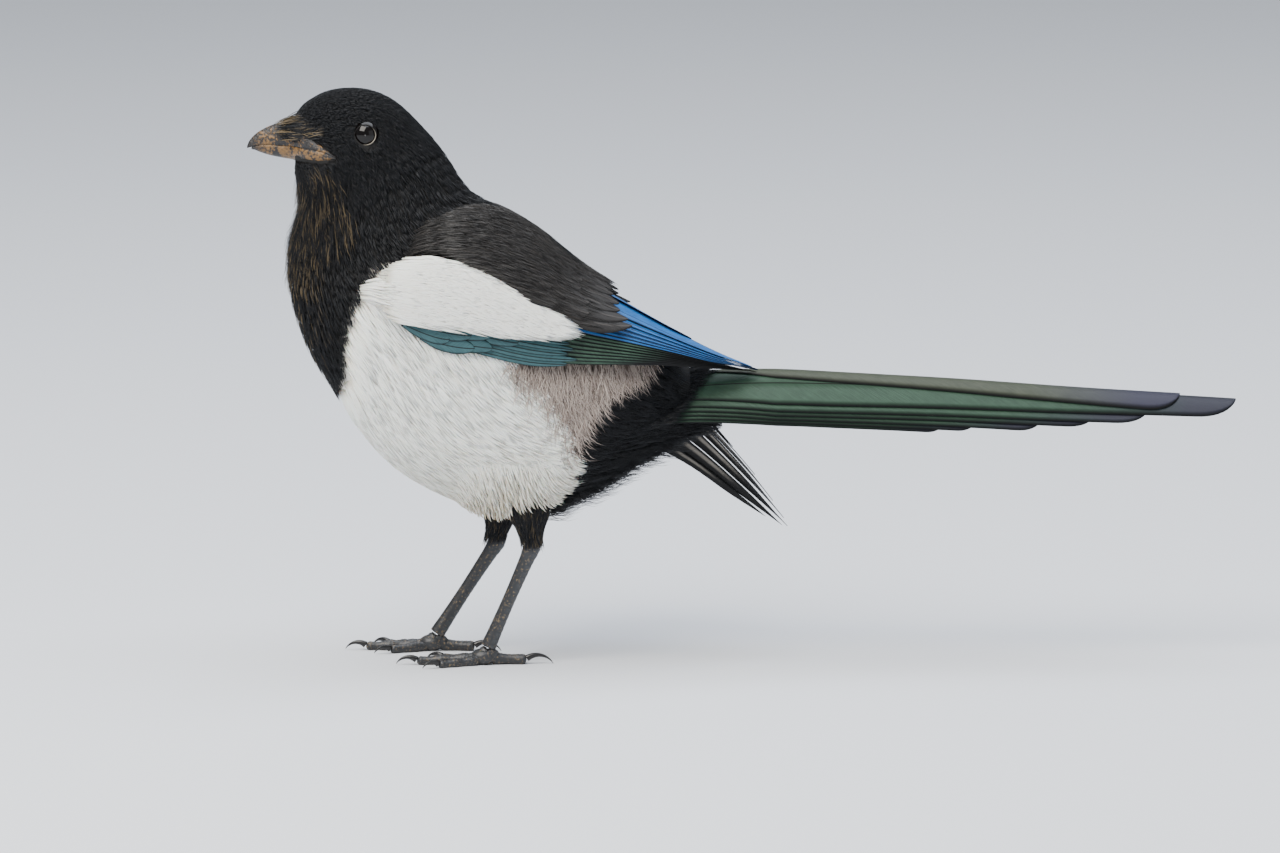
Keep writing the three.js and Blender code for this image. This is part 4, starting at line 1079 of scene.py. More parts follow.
def vane(surface, start, end, edges, height, outline, shaft=0.0, rows=26, columns=7, camber=0.0):
    """One vane: at each share of the way from start to end it spans the two edges times the outline; its
    two faces lie half a thickness over and under the height, and a low ridge stands over the shaft."""
    share = 1 - (1 - np.linspace(0, 1, rows)) ** 1.4
    x = start + (end - start) * share
    low, high = edges(x)
    middle, half = (low + high) / 2, (high - low) / 2 * rounded(share, *outline)
    web = np.sort(np.append(np.linspace(-1, 1, columns - 1), shaft))
    across = middle[:, None] + half[:, None] * web
    x = x[:, None] + 0 * across
    shaft_column = int(np.argmin(np.abs(web - shaft)))
    ridge = SHAFT_RIDGE * (np.arange(columns) == shaft_column)
    rise = height(x, across) + camber * (1 - web**2) + ridge * (1 - share)[:, None]
    taper = VANE_THICK / 2 * np.where(np.abs(web) > 0.99, 0.45, 1)
    upper, under = surface(x, across, rise + taper), surface(x, across, rise - taper)
    gaps = np.linalg.norm(np.diff(upper, axis=1), axis=-1)
    run = np.concatenate([np.zeros((rows, 1)), np.cumsum(gaps, 1)], 1)
    ends = surface(x[[0, -1], :1], middle[[0, -1], None], 0)
    along = share[:, None] * np.linalg.norm(ends[1] - ends[0]) + 0 * across
    values = {"share": both_faces(share[:, None] + 0 * across), "along": both_faces(along),
              "aside": both_faces(run - run[:, shaft_column : shaft_column + 1]),
              "web": both_faces(web + 0 * across)}
    points, triangles = tube(np.concatenate([upper, under[:, ::-1]], 1))
    return points, triangles, values, (rows, 2 * columns)


def add_vanes(name, vanes, finish, slot, nodes=()):
    """Joins vanes to one piece; each gets a tone and a cell of its own on the bake map."""
    cells = int(np.ceil(np.sqrt(len(vanes))))
    bake = []
    for index, (points, _, numbers, (rows, ring)) in enumerate(vanes):
        down, across = grid(np.linspace(0.04, 0.96, rows), np.linspace(0.04, 0.96, ring))
        cell = np.concatenate([np.stack([down.ravel(), across.ravel()], -1), [[0.02, 0.5], [0.98, 0.5]]])
        bake.append((cell + [index % cells, index // cells]) / cells)
        numbers["tone"] = np.full(len(points), rng.random())
    points, triangles = together([made[:2] for made in vanes])
    values = {key: np.concatenate([numbers[key] for _, _, numbers, _ in vanes]) for key in vanes[0][2]}
    add_piece(name, points, triangles, finish, slot, values, np.concatenate(bake), nodes)


print("a vane's tip is", rounded(np.array([1.0]), 0.7, 0.2, 0.86, 2.0)[0], "of its full width")


# %% [markdown]
# ## Vane finishes
# The gloss of magpie feathers is structural: thin layers in the barbs reflect blue, teal or green. The barbs
# themselves lie slantwise from the shaft, about 0.3 mm apart; they are drawn a little coarser so that they
# show. The finish is a dark base with the structural colour over it, dark edges and a thin shaft.

# %% Vane finish
BARB_SPACING = 0.55  # millimetres; coarser than the real 0.3 so that the lines show
BARB_SLANT = 1.35  # distance along the shaft for each millimetre aside


def vane_plumage(name, colour, glow, edge, shaft_colour, pale=None, far=None, **surface):
    """Glossy vane: slanting barb lines between two tints, a dark rim, and a shaft; pale colours the inner
    web where the number called pale is 1, and far is the colour towards the tip."""
    material, tree, shader = new_material(name, **surface)
    aside = maths(tree, "ABSOLUTE", read(tree, "aside"))
    slanted = maths(tree, "SUBTRACT", read(tree, "along"), maths(tree, "MULTIPLY", aside, BARB_SLANT))
    place = add_node(tree, "ShaderNodeCombineXYZ", {0: slanted, 1: maths(tree, "MULTIPLY", aside, 0.12),
                                                    2: maths(tree, "MULTIPLY", read(tree, "tone"), 40.0)})
    streaks = add_node(tree, "ShaderNodeTexNoise", {"Vector": place.outputs[0], "Scale": 1 / BARB_SPACING,
                                                    "Detail": 1.0})
    clouds = surface_noise(tree, 6.0)
    tint = maths(tree, "ADD", maths(tree, "MULTIPLY", streaks.outputs[0], 0.75),
                 maths(tree, "MULTIPLY", clouds.outputs[0], 0.5), use_clamp=True)
    shift = maths(tree, "SUBTRACT", tint, 0.15, use_clamp=True)
    main = blend_colours(tree, shift, colour, glow)
    if far:
        main = blend_colours(tree, read(tree, "far"), main, far)
    if pale:
        main = blend_colours(tree, read(tree, "pale"), main, pale)
    web = maths(tree, "ABSOLUTE", read(tree, "web"))
    rim = add_node(tree, "ShaderNodeMapRange", {0: web, 1: 0.8, 2: 0.97})
    rimmed = blend_colours(tree, rim.outputs[0], main, edge)
    line = add_node(tree, "ShaderNodeMapRange", {0: aside, 1: 0.32, 2: 0.16})
    finished = blend_colours(tree, line.outputs[0], rimmed, shaft_colour)
    tree.links.new(finished, shader.inputs["Base Color"])
    tilt_surface(tree, shader, streaks.outputs[0], 0.12)
    return material


blue_vane = vane_plumage("blue_structural_vane", "#103f78", "#2f76ba", "#04070d", "#081a33",
                         Roughness=0.45, Specular_IOR_Level=0.25)
teal_vane = vane_plumage("teal_structural_vane", "#17343a", "#466f73", "#030708", "#0a1719",
                         Roughness=0.45, Specular_IOR_Level=0.3)
green_edge_vane = vane_plumage("green_edged_vane", "#121b17", "#4c6a57", "#020303", "#040505",
                               pale="#cfc6b8", far="#0b0b0c", Roughness=0.5, Specular_IOR_Level=0.25)
charcoal_vane = vane_plumage("charcoal_scapular_vane", "#121111", "#2a2725", "#0c0b0b", "#3a3633",
                             Roughness=0.55, Specular_IOR_Level=0.3)
tail_vane = vane_plumage("green_structural_vane", "#192b20", "#35503f", "#030504", "#070b08",
                         far="#23242f", Roughness=0.5, Specular_IOR_Level=0.2)
bronze_vane = vane_plumage("bronze_structural_vane", "#262c22", "#484d3f", "#050604", "#090a08",
                           far="#292938", Roughness=0.5, Specular_IOR_Level=0.2)

print("the slanting barbs are drawn", BARB_SPACING, "mm apart")

# %% [markdown]
# ## Black shoulder feathers
# Broad rounded feathers in rows, each lying over the one behind it, so the front rows cover the roots of the
# rear ones. Loose charcoal strands over them make the soft mantle, which hides where the vanes begin.

# %% Black shoulder feathers
# Where the row's roots lie, how many feathers, and the tips of the lowest, a middle and the highest one
SCAPULAR_ROWS = [(-98, 6, (-47.5, -55, -56)), (-108, 6, (-64, -70, -70)), (-118, 6, (-80, -86, -84)),
                 (-127, 6, (-95, -100, -98))]
SCAPULAR_TOP = 0.86  # the highest feather's share of the way up, so that none crosses the ridge
MANTLE_FEATHERS = 1400
mantle_plumage = strand_plumage("charcoal_satin_feather", "#0a0a0a", "#171615", "#34302d", "#5a5148",
                                Roughness=0.5)
black_edges = through(BLACK_ROWS)


def on_black_shoulder(x, angle):
    """1 where the shoulder's shell carries black feathers, and 0 elsewhere."""
    low, high = black_edges(x)
    return ((angle > low + 1) & (angle < high + 6)).astype(float)


def scapular_row(shoulder, row):
    """One row of vanes: each rises towards its tip and dives under the one above it."""
    root, number, tips = SCAPULAR_ROWS[row]
    vanes = []
    for i in range(number):
        place = SCAPULAR_TOP * (i + 0.5 * (row % 2)) / number
        lift = rng.uniform(-0.1, 0.1)

        def edges(x):
            """Angles from just below the feather's place to well under the next one above."""
            lower, upper = black_edges(np.minimum(x, -46))
            start = lower + (upper - lower) * place
            return start - 0.1 * (upper - lower) / number, start + 1.6 * (upper - lower) / number

        def height(x, angle):
            """Rises evenly from the root to the tip and falls evenly from the low to the high edge."""
            low, high = edges(x)
            return -1.3 + 0.045 * (x - root) + lift - 0.5 * (angle - low) / (high - low)

        tip = np.interp(place, [0, 0.5, 1], tips) + rng.uniform(-1.5, 1.5)
        vanes.append(vane(shoulder, root, tip, edges, height, (0.5, 0.3, 0.62, 1.9), shaft=-0.1, columns=8,
                          camber=0.25))
    return vanes


for word, side in SIDES.items():
    shoulder = shell(SHOULDER_ROWS, side)
    vanes = [made for row in range(len(SCAPULAR_ROWS)) for made in scapular_row(shoulder, row)]
    add_vanes(f"black_shoulder_{word}", vanes, charcoal_vane, "black_feathers", [f"black_scapulars_{word}"])
    us, vs = even_roots(shoulder, MANTLE_FEATHERS, (-146, -64), (16, 88),
                        lambda x, a: on_black_shoulder(x, a) * np.clip((-60 - x) / 60, 0.15, 1))
    sunk = np.clip((-130 - us) / 16, 0, 1)
    grow(f"mantle_feathers_{word}", us, vs, {
        "length": np.minimum(16.0, -51 - us), "width": 3.2, "strands": 4, "stations": 3, "aim": 0.0,
        "bend": 0.0, "depth": 1.2 + 7 * sunk, "lift": 0.9 - 0.9 * sunk, "gather": 0.1,
        "strand_width": 0.5, "unruly": 0.05}, (-146, -64, 16, 88), mantle_plumage,
        warm=lambda values, root: 0.35 * some(values, 23.7, 0.05) * values["share"], surface=shoulder,
        normal=shell_normal(shoulder))

# %% [markdown]
# ## Wings
# From the outside of a folded wing, the innermost secondaries lie on top and each next feather shows only
# its outer edge below the last. Coverts hide the roots in rows. One sheet with painted lines would look the
# same from afar, but only real overlapping feathers give the stepped edge. Low angles on the shell are low
# on the bird.

# %% Measures of the wing feathers
# Lower edge in degrees, where the tip lies and the feather's span in degrees, from the top feather down
LEFT_SECONDARIES = [(74, -22, 26), (45, 4, 44), (36, 6.4, 24), (29, 6.4, 20), (23.5, 5.6, 18),
                    (18.5, 2, 16), (14.5, -5, 16)]
LEFT_PRIMARIES = [(11, 5, 14), (7.5, 6, 14), (4, 6, 14), (0, 5, 14), (-3.5, 3, 14), (-7, -1, 14),
                  (-10.5, -7, 14), (-13.5, -16, 14)]
RIGHT_SECONDARIES = [(66, 86, 30), (57, 96, 30), (48, 104, 30), (40, 111, 30), (32, 117, 30), (25, 122, 30),
                     (18, 127, 30)]
RIGHT_PRIMARIES = [(71, 162, 20), (61, 177, 20), (49, 190, 20), (34, 198.5, 20), (15, 202, 20),
                   (-3, 200, 18), (-14, 192, 12)]
# Where the row's roots and tips lie, lower and upper angle, how many and how high over the flight feathers
COVERT_ROWS = [(44, 88, -15, 9, 6, 0.0), (36, 66, -6, 26, 5, 0.5), (28, 55, -13, 24, 5, 0.8),
               (20, 44, -15, 22, 5, 1.0), (13, 33, -12, 18, 4, 1.1)]
LEFT_ALONG = -158  # where the near wing's shell starts
LEFT_ROOTS, RIGHT_ROOTS = -112, 50
LAYER, MOST_LAYERS = 0.62, 2.4  # how far a flight feather lies under the next, and how many count
print("the near wing has", len(LEFT_SECONDARIES + LEFT_PRIMARIES), "flight feathers")
print("the far wing has", len(RIGHT_SECONDARIES + RIGHT_PRIMARIES), "flight feathers")

# %% [markdown]
# ## Feathers of the wings
# Each flight feather starts at the wrist's side, lies over the one outside it and ends at its own tip.
# All are made by one function from a row of numbers, in the order in which they overlap.

# %% Feathers of the wings
def level_edges(low, high):
    """Edges at two fixed angles all along a feather."""
    return lambda x: (low + 0 * x, high + 0 * x)


def flight(surface, feathers, start, step, pale_part, black_from, point=(0.86, 2.0)):
    """Flight feathers whose upper parts dive under the feather above by a layer for each step; pale_part is
    how pale the inner webs are, and from the share black_from on a feather is black."""
    vanes = []
    for low, tip, span in feathers:
        made = vane(surface, start, tip, level_edges(low, low + span),
                    lambda x, a: -LAYER * np.minimum((a - low) / step, MOST_LAYERS), (0.7, 0.2, *point),
                    shaft=-0.55, rows=34, columns=9)
        numbers = made[2]
        inner_web = np.clip(1 - np.abs(numbers["web"] - 0.3) / 0.3, 0, 1)
        numbers["pale"] = pale_part * inner_web * np.clip((0.82 - numbers["share"]) / 0.08, 0, 1)
        numbers["far"] = np.clip((numbers["share"] - black_from) / 0.15, 0, 1)
        vanes.append(made)
    return vanes


def covert_vanes(surface, offset):
    """Coverts in rows, each row a little higher than the last towards its tips."""
    vanes = []
    for root, tip, low, high, number, raised in COVERT_ROWS:
        step = (high - low) / number
        for i in range(number):
            start = low + i * step
            vanes.append(vane(
                surface, offset + root, offset + tip - rng.uniform(0, 6),
                level_edges(start - 0.15 * step, start + 1.35 * step),
                lambda x, a: 0.15 + raised + 0.03 * (x - offset - root) - 0.5 * (a - start) / step,
                (0.6, 0.3, 0.5, 2.0), shaft=-0.2, rows=14, columns=6))
    return vanes


near_wing = shell(LEFT_WING_ROWS, LEFT)
far_wing = shell(RIGHT_WING_ROWS, RIGHT, droops=True)
add_vanes("secondaries_left", flight(near_wing, LEFT_SECONDARIES, LEFT_ROOTS, 7.5, 0.0, 2.0), blue_vane,
          "wing_feathers", ["wing_left"])
add_vanes("primaries_left", flight(near_wing, LEFT_PRIMARIES, LEFT_ROOTS, 3.5, 0.0, 0.55), green_edge_vane,
          "wing_feathers")
add_vanes("coverts_left", covert_vanes(near_wing, LEFT_ALONG), teal_vane, "wing_feathers")
add_vanes("secondaries_right", flight(far_wing, RIGHT_SECONDARIES, RIGHT_ROOTS, 8, 0.0, 2.0), blue_vane,
          "wing_feathers", ["wing_right"])
add_vanes("primaries_right", flight(far_wing, RIGHT_PRIMARIES, RIGHT_ROOTS, 9, 0.6, 0.3, (0.84, 1.5)),
          green_edge_vane, "wing_feathers")
add_vanes("coverts_right", covert_vanes(far_wing, 0), teal_vane, "wing_feathers")

# %% [markdown]
# ## The arm inside each wing
# Under its coverts a wing has flesh. A low cushion on the same shell closes the space between the feathers
# and the body, so that no light passes behind the coverts.

# %% Arm of each wing
ARM_ROWS, ARM_COLUMNS, ARM_THICK = 24, 20, 3.2


def swelling(count):
    """0 at both ends and 1 in the middle, rising quickly, as a half circle does."""
    return np.sin(np.linspace(0, np.pi, count)) ** 0.4


for surface, word, ends in ((near_wing, "left", (-146, -100)), (far_wing, "right", (8, 66))):
    x_grid, angle_grid = grid(np.linspace(*ends, ARM_ROWS), np.linspace(-12, 76, ARM_COLUMNS))
    upper = surface(x_grid, angle_grid, -0.9 + 0 * x_grid)
    fat = ARM_THICK * swelling(ARM_ROWS)[:, None] * swelling(ARM_COLUMNS)[None, :]
    under = surface(x_grid, angle_grid, -1.2 - fat)
    arm_points, arm_triangles = tube(np.concatenate([upper, under[:, ::-1]], 1))
    unmarked = np.zeros(len(arm_points))
    add_piece(f"wing_arm_{word}", arm_points, arm_triangles, skin_finish, "black_feathers",
              {"white": unmarked, "pale": unmarked})

# %% [markdown]
# ## Tail
# Twelve feathers in a stepped fan: the middle pair is the longest and lies on top, and each next pair shows
# only a narrow edge under it.

# %% Tail
TAIL_ROOT, TAIL_OPEN = -38, 14
TAIL_LAYER = 0.8  # how far each layer lies under the one above it
# Layer, X of the tip, outer edge near the root, at the middle and at the tip, width, side (0 is a pair)
RECTRICES = [(0, 188, (14, 18, 13), 25, -1), (1, 212, (16, 20.5, 12.5), 25, 1),
             (2, 174, (19, 23.6, 18), 22, 0), (3, 152, (21, 25.2, 21), 21, 0),
             (4, 129, (22.5, 26.6, 24.4), 20, 0), (5, 101, (24, 27.6, 26.4), 19, 0),
             (6, 87, (25, 28.4, 27.6), 18, 0)]


def tail_edges(layer, tip, outer, width, side):
    """The outer edge runs through its three places, and the feather opens to its full width as it comes
    out from under the coverts."""

    def edges(x):
        """The inner and the outer edge; those of the right side have their signs turned."""
        opened = np.clip((x - TAIL_ROOT) / (TAIL_OPEN - TAIL_ROOT), 0, 1)
        later = np.clip((x - TAIL_OPEN) / (tip - TAIL_OPEN), 0, 1)
        edge = np.where(x < TAIL_OPEN, outer[0] + (outer[1] - outer[0]) * opened,
                        outer[1] + (outer[2] - outer[1]) * later)
        inner = edge - width * (0.5 + 0.5 * opened)
        inner = np.maximum(inner, 0.4) if layer > 1 else inner
        return (inner, edge) if side > 0 else (-edge, -inner)

    return edges


tail_vanes = {"tail_feathers": [], "tail_top_feather": []}
for layer, tip, outer, width, one_side in RECTRICES:
    for side in (one_side,) if one_side else (1, -1):
        made = vane(roof, TAIL_ROOT, tip, tail_edges(layer, tip, outer, width, side),
                    lambda x, a: 0.6 - layer * TAIL_LAYER + 0 * a, (0.85, 0.3, 0.93, 2.2),
                    shaft=0.45 * side if layer > 1 else 0.1 * side, rows=60, columns=11, camber=0.25)
        made[2]["far"] = np.clip((made[2]["share"] - 0.72) / 0.2, 0, 1)
        tail_vanes["tail_top_feather" if layer == 0 else "tail_feathers"].append(made)
add_vanes("tail_feathers", tail_vanes["tail_feathers"], tail_vane, "tail_feathers", ["tail"])
add_vanes("tail_top_feather", tail_vanes["tail_top_feather"], bronze_vane, "tail_feathers")

# %% [markdown]
# ## Coverts of the tail
# Short black feathers hide where the tail grows out of the rump. They stand highest over the ridge, and
# reach less far back at the sides.

# %% Coverts of the tail
us, vs = even_roots(roof, 800, (-50, -14), (-27, 27), lambda x, a: 1.0 * (x < -20 - 0.66 * np.abs(a)))
grow("tail_covert_feathers", us, vs, {
    "length": 13.0, "width": 3.5, "strands": 5, "stations": 3, "aim": 0.0, "bend": 0.0, "depth": 1.5,
    "lift": 1.1 + 1.9 * np.clip(1 - np.abs(vs) / 9, 0, 1), "gather": 0.1, "strand_width": 0.6,
    "unruly": 0.08}, (-50, -14, -27, 27), surface=roof, normal=shell_normal(roof))

# %% [markdown]
# ## Finding a place on the cheek
# The bare corner of the mouth and the bristles lie on the face at places known only from the side. Newton's
# method walks over the body's surface until its X and Z are the wanted ones.


# %% A place on the cheek
NEWTON_STEPS = 9


def cheek_place(x, z):
    """Station and turn where the right cheek has this X and Z, by Newton's method: each step solves the
    body's two slopes for what X and Z still miss."""
    station, turn = np.full(x.shape, 2.0), np.full(x.shape, QUARTER)
    for _ in range(NEWTON_STEPS):
        here = body(station, turn)
        along, across = slopes_of(body, station, turn)
        miss_x, miss_z = x - here[..., 0], z - here[..., 2]
        det = along[..., 0] * across[..., 2] - along[..., 2] * across[..., 0]
        det = np.where(np.abs(det) < 1e-3, 1e-3, det)
        station = np.clip(station + (miss_x * across[..., 2] - miss_z * across[..., 0]) / det, 0, 12)
        turn = np.clip(turn + (along[..., 0] * miss_z - along[..., 2] * miss_x) / det, 0.1, 3.0)
    return station, turn


print("beside the eye the body's station is", round(float(cheek_place(*EYE[[[0], [2]]])[0][0]), 2))

# %% [markdown]
# ## Bill
# Two hollow-looking halves of horn over bone. Each half is a row of sections: an arch over a flat mouth
# line. The upper one is longer and hooks over the tip of the lower. A lathe can't make a bill, because its
# sections are neither round nor centred on one line, and at its root it has to meet the cheeks. This bird's
# bill is worn and dusty, so the dark horn shows through tan grit in patches.

# %% Form of the bill
# X, upper edge, mouth line, lower edge, half width
BILL_ROWS = [[-212.4, 222.0, 220.9, 220.5, 0.5], [-211.6, 223.9, 221.2, 220.6, 1.1],
             [-209.2, 226.7, 221.9, 220.2, 1.9], [-206.4, 228.7, 222.6, 219.1, 2.6],
             [-202.4, 230.7, 222.7, 217.9, 3.4], [-197.0, 232.3, 222.4, 216.8, 4.4],
             [-192.6, 233.2, 222.4, 216.0, 5.3], [-188.0, 232.6, 222.3, 214.2, 6.1],
             [-184.0, 229.4, 221.9, 212.2, 6.6], [-179.0, 224.6, 220.8, 212.4, 6.6],
             [-173.8, 219.4, 218.5, 216.6, 6.6]]
GAPE_RIM = 0.7  # how far the bare corner of the mouth stands out of the cheek
MOUTH_GAP = 0.1  # half the line between the closed halves
bill_section = through(BILL_ROWS)


def bill_half_width(x):
    """The row's half width in front; from the face backwards, the cheek's half width plus a rim."""
    _, mouth, _, half = bill_section(x)
    station, turn = cheek_place(np.maximum(x, -189.5), mouth)
    rim = GAPE_RIM * np.clip((BILL_ROWS[-1][0] - x) / 8, 0.05, 1)
    cheek = body(station, turn)[..., 1] + rim
    share = np.clip((x + 194.5) / 5.5, 0, 1) ** 1.5
    return half * (1 - share) + cheek * share


def bill_side(x, turn, upper, raised=0.0):
    """A point on a half of the bill, or raised over it: from the mouth line the height grows with a power
    of the cosine of the turn, from -90 to 90 degrees, and the half width counts with its sine."""
    top, mouth, under, _ = bill_section(x)
    inner = mouth + (MOUTH_GAP if upper else -MOUTH_GAP)
    outer = (top if upper else under) + (raised if upper else -raised)
    z = inner + (outer - inner) * np.cos(turn) ** 0.8
    return np.stack([x + 0 * z, (bill_half_width(x) + raised) * np.sin(turn), z], -1)


print("the bill is", round(BILL_ROWS[-1][0] - BILL_ROWS[0][0], 1), "mm long up to the corner of the mouth")

# %% [markdown]
# ## Finish and halves of the bill
# The halves are two closed tubes, so that the mouth line between them is a real gap. The dust is noise in
# the finish, because modelled specks would cost many faces for grains smaller than a millimetre.

# %% Finish and halves of the bill
BILL_RINGS = 70
LOWER_TIP_BACK = 1.9  # how far the lower half ends behind the upper one's hook
# Horn has a dull gloss; tan grit clings to it in specks, most of them on the middle of the lower half
bill_horn, tree, shader = new_material("worn_bill_horn", Roughness=0.45)
grit = surface_noise(tree, 1.1, 6.0)
blotches = surface_noise(tree, 5.0, 4.0)
in_blotches = maths(tree, "MULTIPLY", blotches.outputs[0], 1.5)
amount = maths(tree, "ADD", grit.outputs[0], maths(tree, "ADD", in_blotches, read(tree, "dust")))
speckle = add_node(tree, "ShaderNodeMapRange", {0: amount, 1: 1.28, 2: 1.46})
tipward = add_node(tree, "ShaderNodeMapRange", {0: read(tree, "base"), 1: 0.06, 2: 0.3})
dusty = maths(tree, "MULTIPLY", speckle.outputs[0], tipward.outputs[0])
ochre = blend_colours(tree, grit.outputs[0], "#2c2013", "#96703f")
tree.links.new(blend_colours(tree, dusty, "#1f1d1d", ochre), shader.inputs["Base Color"])
tilt_surface(tree, shader, grit.outputs[0], 0.6)

arch = np.linspace(-QUARTER, QUARTER, 25)
floor_turns = np.linspace(QUARTER, -QUARTER, 9)[1:-1]
for upper, node in ((True, "upper_bill"), (False, "lower_bill")):
    first = BILL_ROWS[0][0] + (0 if upper else LOWER_TIP_BACK)
    x_line = first + (BILL_ROWS[-1][0] - first) * np.linspace(0, 1, BILL_RINGS) ** 1.3
    outer = bill_side(*grid(x_line, arch), upper)
    inner = bill_side(*grid(x_line, floor_turns), upper)
    inner[..., 2] = outer[:, :1, 2]
    rings = np.concatenate([outer, inner], 1)
    base = np.append(np.repeat(np.linspace(0, 1, BILL_RINGS), rings.shape[1]), [0, 1])
    dust = 0.02 if upper else np.clip(0.2 - 0.3 * np.abs(base - 0.5), 0, 1)
    add_piece(node + "_horn", *tube(rings), bill_horn, "bill_horn", {"base": base, "dust": dust + 0 * base},
              nodes=[node])

# %% [markdown]
# ## Bristles
# Stiff forward-lying feathers cover the nostrils and the root of the bill. Each is a strand along a curve
# from the forehead or cheek to a point on the bill, bowed outwards on its way.

# %% Bristles
BRISTLES, BRISTLE_STATIONS = 900, 5
side = np.where(rng.random(BRISTLES) < 0.5, -1, 1)
root_x = rng.uniform(-190, -178.5, BRISTLES)
root_z = rng.uniform(0, 1, BRISTLES) * (12 - 0.6 * (root_x + 190)) + 225 + 0.1 * (root_x + 190)
starts = body(*cheek_place(root_x, root_z))
ends_x = root_x - rng.uniform(6, 13, BRISTLES)
ends_turn = np.radians(np.interp(root_z, [224, 238], [78, 12])) + rng.normal(0, 0.14, BRISTLES)
ends = bill_side(ends_x, np.clip(ends_turn, 0.02, 1.5), True, 0.6)
bow = np.stack([0 * ends_x, rng.uniform(0.5, 1.5, BRISTLES), rng.uniform(0.3, 1.1, BRISTLES)], -1)
middle = (starts + ends) / 2 + bow
t = np.linspace(0, 1, BRISTLE_STATIONS + 1)[None, :, None]
path = (1 - t) ** 2 * starts[:, None] + 2 * t * (1 - t) * middle[:, None] + t**2 * ends[:, None]
path = path * np.stack([np.ones(BRISTLES), side, np.ones(BRISTLES)], -1)[:, None]
out = unit(path - np.array([-192, 0, 224]))
bristle_points = strand_points(path, out, rng.uniform(0.4, 0.65, BRISTLES), BRISTLE_STATIONS)
per = bristle_points.shape[1]
faces = strand_triangles(BRISTLE_STATIONS)
bristle_faces = (np.arange(BRISTLES)[:, None, None] * per + faces).reshape(-1, 3)
chance = np.repeat(rng.random(BRISTLES), per)
run = np.tile(np.append(np.repeat(t[0, :-1, 0], 3), 1), BRISTLES)
place_on_face = np.stack([(root_x + 192) / 12, (root_z - 222) / 18 / 2 + 0.5 * (side > 0)], -1)
bristle_bake = np.repeat(0.01 + 0.95 * place_on_face, per, 0) + np.stack([run, chance], -1) * BAKE_PATCH
add_piece("bristles", bristle_points.reshape(-1, 3), bristle_faces, black_plumage, "black_feathers",
          {"tone": chance, "share": run, "warm": 0.9 * (chance > 0.66) * run}, bristle_bake)

# %% [markdown]
# ## Eyes
# The iris of a magpie is so dark that the eye reads as one black bead, so no iris is drawn. It is a plain
# ball with a wet gloss, set into a thin dark fleshy ring; the pale line on the ring's lower rear is a painted
# highlight.

# %% Eyes and lids
EYE_RINGS, EYE_SIDES = 40, 64
LID_Y, LID_RING, LID_THICK = 15.4, 4.45, 0.3
LID_STEPS, LID_SIDES = 72, 14
LID_SLANT = 0.10  # how fast the ring turns outwards with X, as the head widens
# A cornea has an IOR of 1.376 and is always wet
eye_finish, tree, shader = new_material("wet_dark_eye", Roughness=0.05, IOR=1.376)
shader.inputs["Base Color"].default_value = linear("#070403")
lid_finish, tree, shader = new_material("lid_skin_with_painted_highlight", Roughness=0.6, Specular_IOR_Level=0.2)
# The lid is dark; its pale colour is a painted highlight on the lower rear of the ring
tree.links.new(blend_colours(tree, read(tree, "pale"), "#0f0e0e", "#a59d90"), shader.inputs["Base Color"])

polar, round_eye = grid(np.linspace(0, np.pi, EYE_RINGS), circle(EYE_SIDES))
ball = np.stack([np.sin(polar) * np.cos(round_eye), np.cos(polar), np.sin(polar) * np.sin(round_eye)], -1)
around, thick = grid(circle(LID_STEPS), circle(LID_SIDES))
reach = LID_RING + LID_THICK * np.cos(thick)
# Painted highlight: pale only on the lower rear of the ring and on its inner side
painted_lid_highlight = np.clip(np.cos(around + np.radians(40)), 0, 1) * np.clip(0.6 - np.cos(thick), 0, 1)
closing = grid_triangles(2, LID_SIDES)
seam = closing % LID_SIDES + np.where(closing < LID_SIDES, (LID_STEPS - 1) * LID_SIDES, 0)
lid_triangles = np.concatenate([grid_triangles(LID_STEPS, LID_SIDES), seam])
for word, side in SIDES.items():
    add_piece(f"eye_ball_{word}", *tube(EYE * [1, side, 1] + EYE_RADIUS * ball), eye_finish, "eye",
              nodes=[f"eye_{word}"])
    lid = np.stack([EYE[0] + reach * np.cos(around), side * (LID_Y + 0.9 * LID_THICK * np.sin(thick)),
                    EYE[2] + 0.97 * reach * np.sin(around)], -1)
    lid[..., 1] += side * LID_SLANT * (lid[..., 0] - EYE[0])
    add_piece(f"eyelid_{word}", lid.reshape(-1, 3), lid_triangles, lid_finish, "black_feathers",
              {"pale": 0.8 * painted_lid_highlight})

# %% [markdown]
# ## Legs, feet and claws
# Bare legs are covered in horny plates: wide ones down the front of the shank and rings over the toes. Each
# bone is a tube along a path, and the plates are small steps in its radius.


# %% Tubes along a path
def tube_along(path, wide, high, ring_turns):
    """Rings square to a path: half width times the cosine to the side, half height times the sine up."""
    along = unit(np.gradient(path, axis=0))
    flat = np.stack([-along[:, 1], along[:, 0], 0 * along[:, 0]], -1)
    steep = np.linalg.norm(flat, axis=-1, keepdims=True) < 0.2
    across = unit(np.where(steep, [0.0, 1.0, 0.0], flat))
    up = np.cross(along, across)
    c, s = np.cos(ring_turns), np.sin(ring_turns)
    return path[:, None] + across[:, None] * (wide * c)[..., None] + up[:, None] * (high * s)[..., None]


print("tubes along a path have their rings square to it")

# %% [markdown]
# ## Finish of legs and claws
# Skin and claws are dark, and differ in gloss: dull plates against smooth horn.

